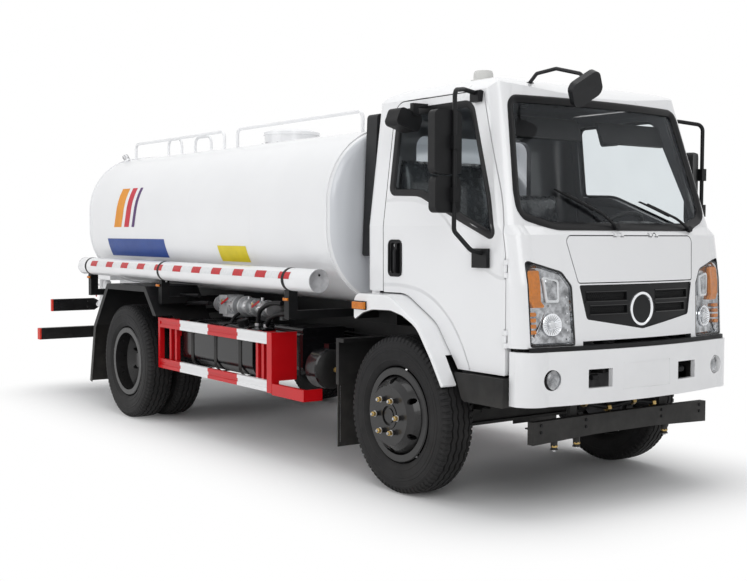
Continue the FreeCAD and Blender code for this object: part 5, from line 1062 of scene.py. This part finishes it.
def lamps():
    p = Piece("marker_lamps", "chassis", LAMP_MATS)
    for s in (-1, 1):
        for x, z in ((-4551, 1178), (-3067, 1160), (-1061, 1145)):
            marker(p, x, 1141, z, s)
    # rear lamp clusters on the back of the lamp board
    hit = skin("rear_bars")
    for s in (-1, 1):
        for k, mat in enumerate((1, 0, 2)):
            y = s * (1060 - k * 95)
            q, _ = hit((0, y, 860), (1, 0, 0))
            p.lathe((q.x + 2, y, 860), (-1, 0, 0), [(0, 42), (8, 43), (12, 40), (16, 30), (18, 0)], mat, 36)
            p.lathe((q.x + 2, y, 860), (-1, 0, 0), [(0, 46), (6, 46), (6, 41)], 4, 36)
    p.done(bevel=1.0)
    f = Piece("flare_markers", "cab", LAMP_MATS)
    for s in (-1, 1):
        f.box(-419, -282, s * 1030, s * 1040, 1112, 1167, 4)
        f.box(-414, -287, s * 1038, s * 1056, 1117, 1162, 0)
        for k in range(9):
            rib = -404 + k * 13.6
            f.box(rib - 1.5, rib + 1.5, s * 1055, s * 1058, 1121, 1158, 0)
    f.done(bevel=3.0)


def chassis_details():
    p = Piece("tank_straps", "chassis", ["steel", "plastic", "brass", "rubber", "chassis"])
    hit = skin("side_tanks_and_boxes")
    # straps round the fuel tank
    loop = outline([(-1050, 530), (-1050, 890), (-560, 890), (-560, 530)], [70] * 4, per=6)
    for x in (-2640, -2255, -1870):
        p.grid([closed(Vector((x + dx, q.x, q.y)) for q in offset(loop, h))
                for dx, h in ((-22, 1), (-20, 5), (20, 5), (22, 1))], 4)
    # filler cap
    p.cyl((-2070, -905, 886), (0, -0.25, 1), 42, 36, 1, 32)
    p.cyl((-2070, -913, 918), (0, -0.25, 1), 48, 18, 1, 12)
    # ribs and latches on the battery box
    for x in (-1560, -1500, -1440, -1380, -1320, -1260):
        for s in (-1, 1):
            q, _ = hit((x, 0, 650), (0, -s, 0))
            if q is not None and 850 < abs(q.y) < 960:
                p.box(x - 8, x + 8, q.y - 3, q.y + 3, 560, 740, 1)
    # air tank end, valve and pipes
    p.lathe((-928, -850, 662), (1, 0, 0), [(-6, 136), (6, 120), (18, 84), (26, 40), (28, 0)], 4, 40)
    p.nut((-905, -850, 662), (1, 0, 0), 20, 22, 2)
    p.cyl((-885, -850, 662), (1, 0, 0), 9, 26, 2, 14)
    p.tube([(-862, -850, 662), (-830, -840, 700), (-820, -700, 760), (-900, -520, 800)], 7, 3, 8, 40)
    # brake and air hoses along the rail
    for k in range(4):
        y, z = -446 - k * 5, 790 + k * 26
        p.tube([(-760, y, z), (-1300, y, z + 6), (-2100, y, z - 4), (-3000, y, z + 5)], 6, 3, 8, 60)
    # hoops of hose over the fuel tank
    for pts in (((-3508, 873), (-3487, 1001), (-3260, 1062), (-2814, 1080)),
                ((-3355, 883), (-3261, 971), (-3033, 1008), (-2645, 1028)),
                ((-1871, 893), (-1852, 1012), (-1693, 1078), (-1522, 1085)),
                ((-1746, 893), (-1711, 957), (-1590, 1000), (-1389, 1021))):
        hoop = [(x, -900, z) for x, z in pts]
        p.tube(hoop, 17, 3, 12, 90)
        p.cyl(hoop[0], (0, 0, 1), 22, 26, 0, 20)
    p.done(bevel=0.8)


def pump_details():
    p = Piece("pump_fittings", "chassis", ["steel", "red", "brass", "chassis", "rubber"])
    hit = skin("water_pump")
    for x in (-2680, -2440, -2200, -2020):
        if hit((x, 0, 1012), (0, 1, 0))[0] is None:
            continue
        for k in range(8):
            t = 2 * math.pi * k / 8
            a, _ = hit((x + 46 * math.cos(t), 0, 1012 + 46 * math.sin(t)), (0, 1, 0))
            if a is not None:
                p.nut((a.x, a.y + 2, a.z), (0, -1, 0), 7, 9, 0)
    # ball valves with red levers
    for x, z in ((-2560, 1050), (-2120, 1046)):
        q, _ = hit((x, 0, z - 40), (0, 1, 0))
        y = (q.y if q is not None else -800) - 2
        p.cyl((x, y + 10, z), (0, -1, 0), 17, 30, 0, 20)
        p.nut((x, y - 18, z), (0, -1, 0), 12, 8, 2)
        p.box(x - 8, x + 118, y - 30, y - 24, z - 8, z + 8, 1, Matrix.Rotation(math.radians(-24), 3, "Y"))
    p.tube([(-2330, -800, 960), (-2330, -850, 930), (-2330, -880, 880)], 13, 4, 12, 24)
    p.done(bevel=0.7)


def mudflap_edges():
    p = Piece("mudflap_studs", "chassis", ["steel", "rubber"])
    for s in (-1, 1):
        for k in range(34):
            p.cyl((-633, s * 992, 226 + k * 11), (1, 0, 0), 2.8, 2.2, 0, 8)
    p.done()


def rear_valves():
    p = Piece("rear_spray_fittings", "chassis", ["red", "steel", "brass", "white"])
    for s in (-1, 1):
        p.cyl((-5470, s * 640, 1000), (0, -1, 0), 14, 60, 1, 20)
        p.box(-5478, -5462, s * 640 - 72, s * 640 - 64, 940, 1060, 0)
        horn = [(0, 30), (30, 46), (60, 58), (62, 54), (30, 40)]
        p.lathe((-5470, s * 640, 905), (-0.5, 0, -0.86), horn, 3, 28)
    p.done(bevel=1.0)


DRUM_FRONT = [(0, 206), (4, 212), (92, 212), (100, 205), (108, 160), (110, 120), (108, 119), (100, 150),
              (6, 200)]
DRUM_REAR = [(-60, 208), (-56, 214), (120, 214), (130, 206), (134, 150), (132, 130)]


def brake_drums():
    for side, s in SIDES:
        for name, body, x, profile in (("brake_drum_", "front_road_wheel_", 0, DRUM_FRONT),
                                       ("brake_drum_rear_", "rear_twin_wheels_", REAR, DRUM_REAR)):
            p = Piece(name + side, body + side, ["engine"])
            p.lathe((x, s * 800, HUB_Z), (0, s, 0), profile, 0, 60)
            p.done(smooth=30)


def arch_liners():
    """Black liner over each front wheel, under the cab floor."""
    p = Piece("arch_liners", "cab", ["plastic"])
    pts = [(-405, 1150), (-300, 1178), (-80, 1180), (100, 1120), (220, 1040), (330, 900)]
    for s in (-1, 1):
        for up in (0, 6):
            p.grid([[(x, s * y, z + up) for x, z in pts] for y in (640, 845)])
    p.done()


# ---------------------------------------------------------------- cab inside
def cushion(name, x0, x1, y0, y1, z0, z1, lean=0.0):
    """A stuffed seat part: crowned faces, rolled edges and stitched channels, under a thin film."""
    across, along = 22, 18
    mid, half = Vector((x0 + x1, y0 + y1, z0 + z1)) / 2, Vector((x1 - x0, y1 - y0, z1 - z0)) / 2
    p = Piece(name, "cab", ["seat"])
    for skin_side in (1, -0.9):
        rows = []
        for j in range(along + 1):
            v = -1 + 2 * j / along
            row = []
            for i in range(across + 1):
                u = -1 + 2 * i / across
                edge = (1 - abs(u) ** 4) * (1 - abs(v) ** 4)
                down, over = math.exp(-((abs(u) - 0.5) * 14) ** 2), math.exp(-(abs(v * 3 % 1.0) * 9) ** 2)
                h = edge ** 0.5 * (1 - 0.10 * down - 0.05 * over) * skin_side
                x, z = (v, h) if half.z < half.x else (h, v)
                x, y, z = mid.x + x * half.x, mid.y + u * half.y, mid.z + z * half.z
                if half.z >= half.x:
                    x += lean * (z - z0)
                wrinkle = 1.6 * math.sin(y * 0.09 + z * 0.05) * math.cos(x * 0.07 - z * 0.03)
                row.append(Vector((x, y, z + wrinkle)))
            rows.append(row)
        p.grid(rows)
    ob = p.done(smooth=70)
    clean(ob.data, 0.003)


def cab_trim():
    """Dashboard and column keep their modelled shape; the seats are upholstered pieces."""
    src = NODES["cab_interior"].data
    faces = [list(poly.vertices) for poly in src.polygons if poly.center.x > X(215)]
    mesh = bpy.data.meshes.new("dashboard")
    mesh.from_pydata([v.co.copy() for v in src.vertices], [], faces)
    mesh.materials.append(M["dash"])
    clean(mesh, SEAM)
    ob = new_object("dashboard", mesh)
    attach(ob, "cab")
    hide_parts("cab_interior")
    for y0, y1, name, top in ((175, 640, "driver", 1860), (-745, 20, "passenger", 2060)):
        cushion(name + "_cushion", -300, 195, y0, y1, 1380, 1500)
        cushion(name + "_backrest", -338, -228, y0 + 6, y1 - 6, 1500, top, -0.06)
        base = Piece(name + "_seat_base", "cab", ["plastic", "steel"])
        base.box(-280, 170, y0 + 30, y1 - 30, 1140, 1385, 0)
        base.tube([(-150, y0 + 20, 1400), (60, y0 + 20, 1400)], 8, 1, 8)
        base.done(bevel=10)
    d = Piece("dash_details", "cab", ["plastic", "black_gloss", "white_lens", "steel", "chassis"])
    hit = skin("cab_interior")
    for y in (-620, -300, 60, 620):
        for dy in (-60, 60):
            q, _ = hit((0, y + dy, 1500), (1, 0, 0))
            if q is not None:
                vent = [(0, 40), (5, 40), (6, 34), (1, 30), (1, 0)]
                d.lathe((q.x + 2, y + dy, 1500), (-1, 0, 0), vent, 1, 28)
    # instrument binnacle in front of the wheel, with two blank dials
    d.box(600, 700, 250, 550, 1590, 1668, 0, Matrix.Rotation(math.radians(12), 3, "Y"))
    for y in (330, 470):
        d.lathe((604, y, 1630), (-1, 0, 0), [(0, 44), (6, 44), (6, 40), (1, 38), (1, 0)], 2, 32)
    # gear lever on the tunnel
    d.tube([(250, 60, 1150), (262, 60, 1350), (240, 66, 1520)], 9, 3, 10, 60)
    d.dome((240, 66, 1512), (0, 0, 1), 24, 40, 1, 20)
    # sun visors
    for y0, y1 in ((120, 690), (-690, -60)):
        d.box(560, 585, y0, y1, 2150, 2290, 0, Matrix.Rotation(math.radians(-22), 3, "Y"))
    d.done(bevel=4)


locker_tubes()
tank_panels()
tank_fittings()
lamps()
chassis_details()
pump_details()
mudflap_edges()
rear_valves()
brake_drums()
arch_liners()
cab_trim()

# ---------------------------------------------------------------- stage, light, camera
SKY, KEY, FILL, TOP = 0.38, 345, 272, 320
SHADE_X, SHADE_Y = 2.95, 0.75     # half sizes in metres of the floor patch that takes the full shadow
SHADE_FADE = 1.2                  # metres from its edge to plain white
FLOOR = 60000                     # half size of the floor, mm


def background_share(t):
    """1 for rays that look straight, by reflection or through glass at what stands behind the truck."""
    path = t.new("LightPath", {}).outputs
    return t.total([path["Is Camera Ray"], path["Is Glossy Ray"], path["Is Transmission Ray"]], True)


def lighting():
    make_floor()
    world = bpy.data.worlds.new("studio")
    bpy.context.scene.world = world
    t = Tree(world)
    soft = t.new("Background", {0: (0.97, 0.98, 1.0), 1: SKY})
    white = t.new("Background", {0: (1, 1, 1), 1: 1.0})
    t.new("OutputWorld", {0: t.blend(background_share(t), soft, white).outputs[0]})
    lamp("key", P(9000, -5200, 6200), P(-600, 0, 1100), 7.0, KEY)
    lamp("fill", P(-4200, -9500, 4200), P(-1800, 0, 1100), 8.0, FILL)
    lamp("top", P(-1500, 500, 8500), P(-1500, 0, 1000), 9.0, TOP)


def lamp(name, at, to, size, power):
    light = bpy.data.lights.new(name, "AREA")
    light.shape = "DISK"
    light.size = size
    light.energy = power
    ob = new_object(name, light)
    ob.location = at
    ob.rotation_euler = (to - at).to_track_quat("-Z", "Y").to_euler()


def make_floor():
    """White floor that takes the truck's shadow and fades into the background around it."""
    m = bpy.data.materials.new("floor")
    t = Tree(m)
    sh = t.new("BsdfDiffuse", {0: (0.97, 0.97, 0.97)})
    glow = t.new("Emission", {})
    off = t.vector("ABSOLUTE", t.new("TexCoord", {}).outputs["Object"])
    off = t.vector("MAXIMUM", t.vector("SUBTRACT", off, (SHADE_X, SHADE_Y, 0)), (0, 0, 0))
    away = t.step(t.vector("LENGTH", off, out="Value"), 0.0, SHADE_FADE)
    seen = t.blend(background_share(t), sh, t.blend(away, sh, glow))
    t.new("OutputMaterial", {0: seen.outputs[0]})
    mesh = bpy.data.meshes.new("floor")
    corners = [P(x * FLOOR, y * FLOOR, -1) for x, y in ((-1, -1), (1, -1), (1, 1), (-1, 1))]
    mesh.from_pydata(corners, [], [(0, 1, 2, 3)])
    mesh.materials.append(m)
    return new_object("floor", mesh)


def camera():
    yaw, pitch, roll = math.radians(144.12), math.radians(-2.9), math.radians(0.23)
    ahead = Vector((math.cos(pitch) * math.cos(yaw), math.cos(pitch) * math.sin(yaw), math.sin(pitch)))
    right = ahead.cross(Vector((0, 0, 1))).normalized()
    up = right.cross(ahead)
    right, up = right * math.cos(roll) + up * math.sin(roll), up * math.cos(roll) - right * math.sin(roll)
    cam = bpy.data.cameras.new("view")
    cam.sensor_width = 36
    cam.lens = 54.26
    cam.clip_end = 500
    ob = new_object("view", cam)
    m = Matrix((right, up, -ahead)).transposed().to_4x4()
    m.translation = P(5447, -5125, 1592)
    ob.matrix_world = m
    bpy.context.scene.camera = ob


bpy.context.scene.view_settings.view_transform = "Standard"
lighting()
camera()
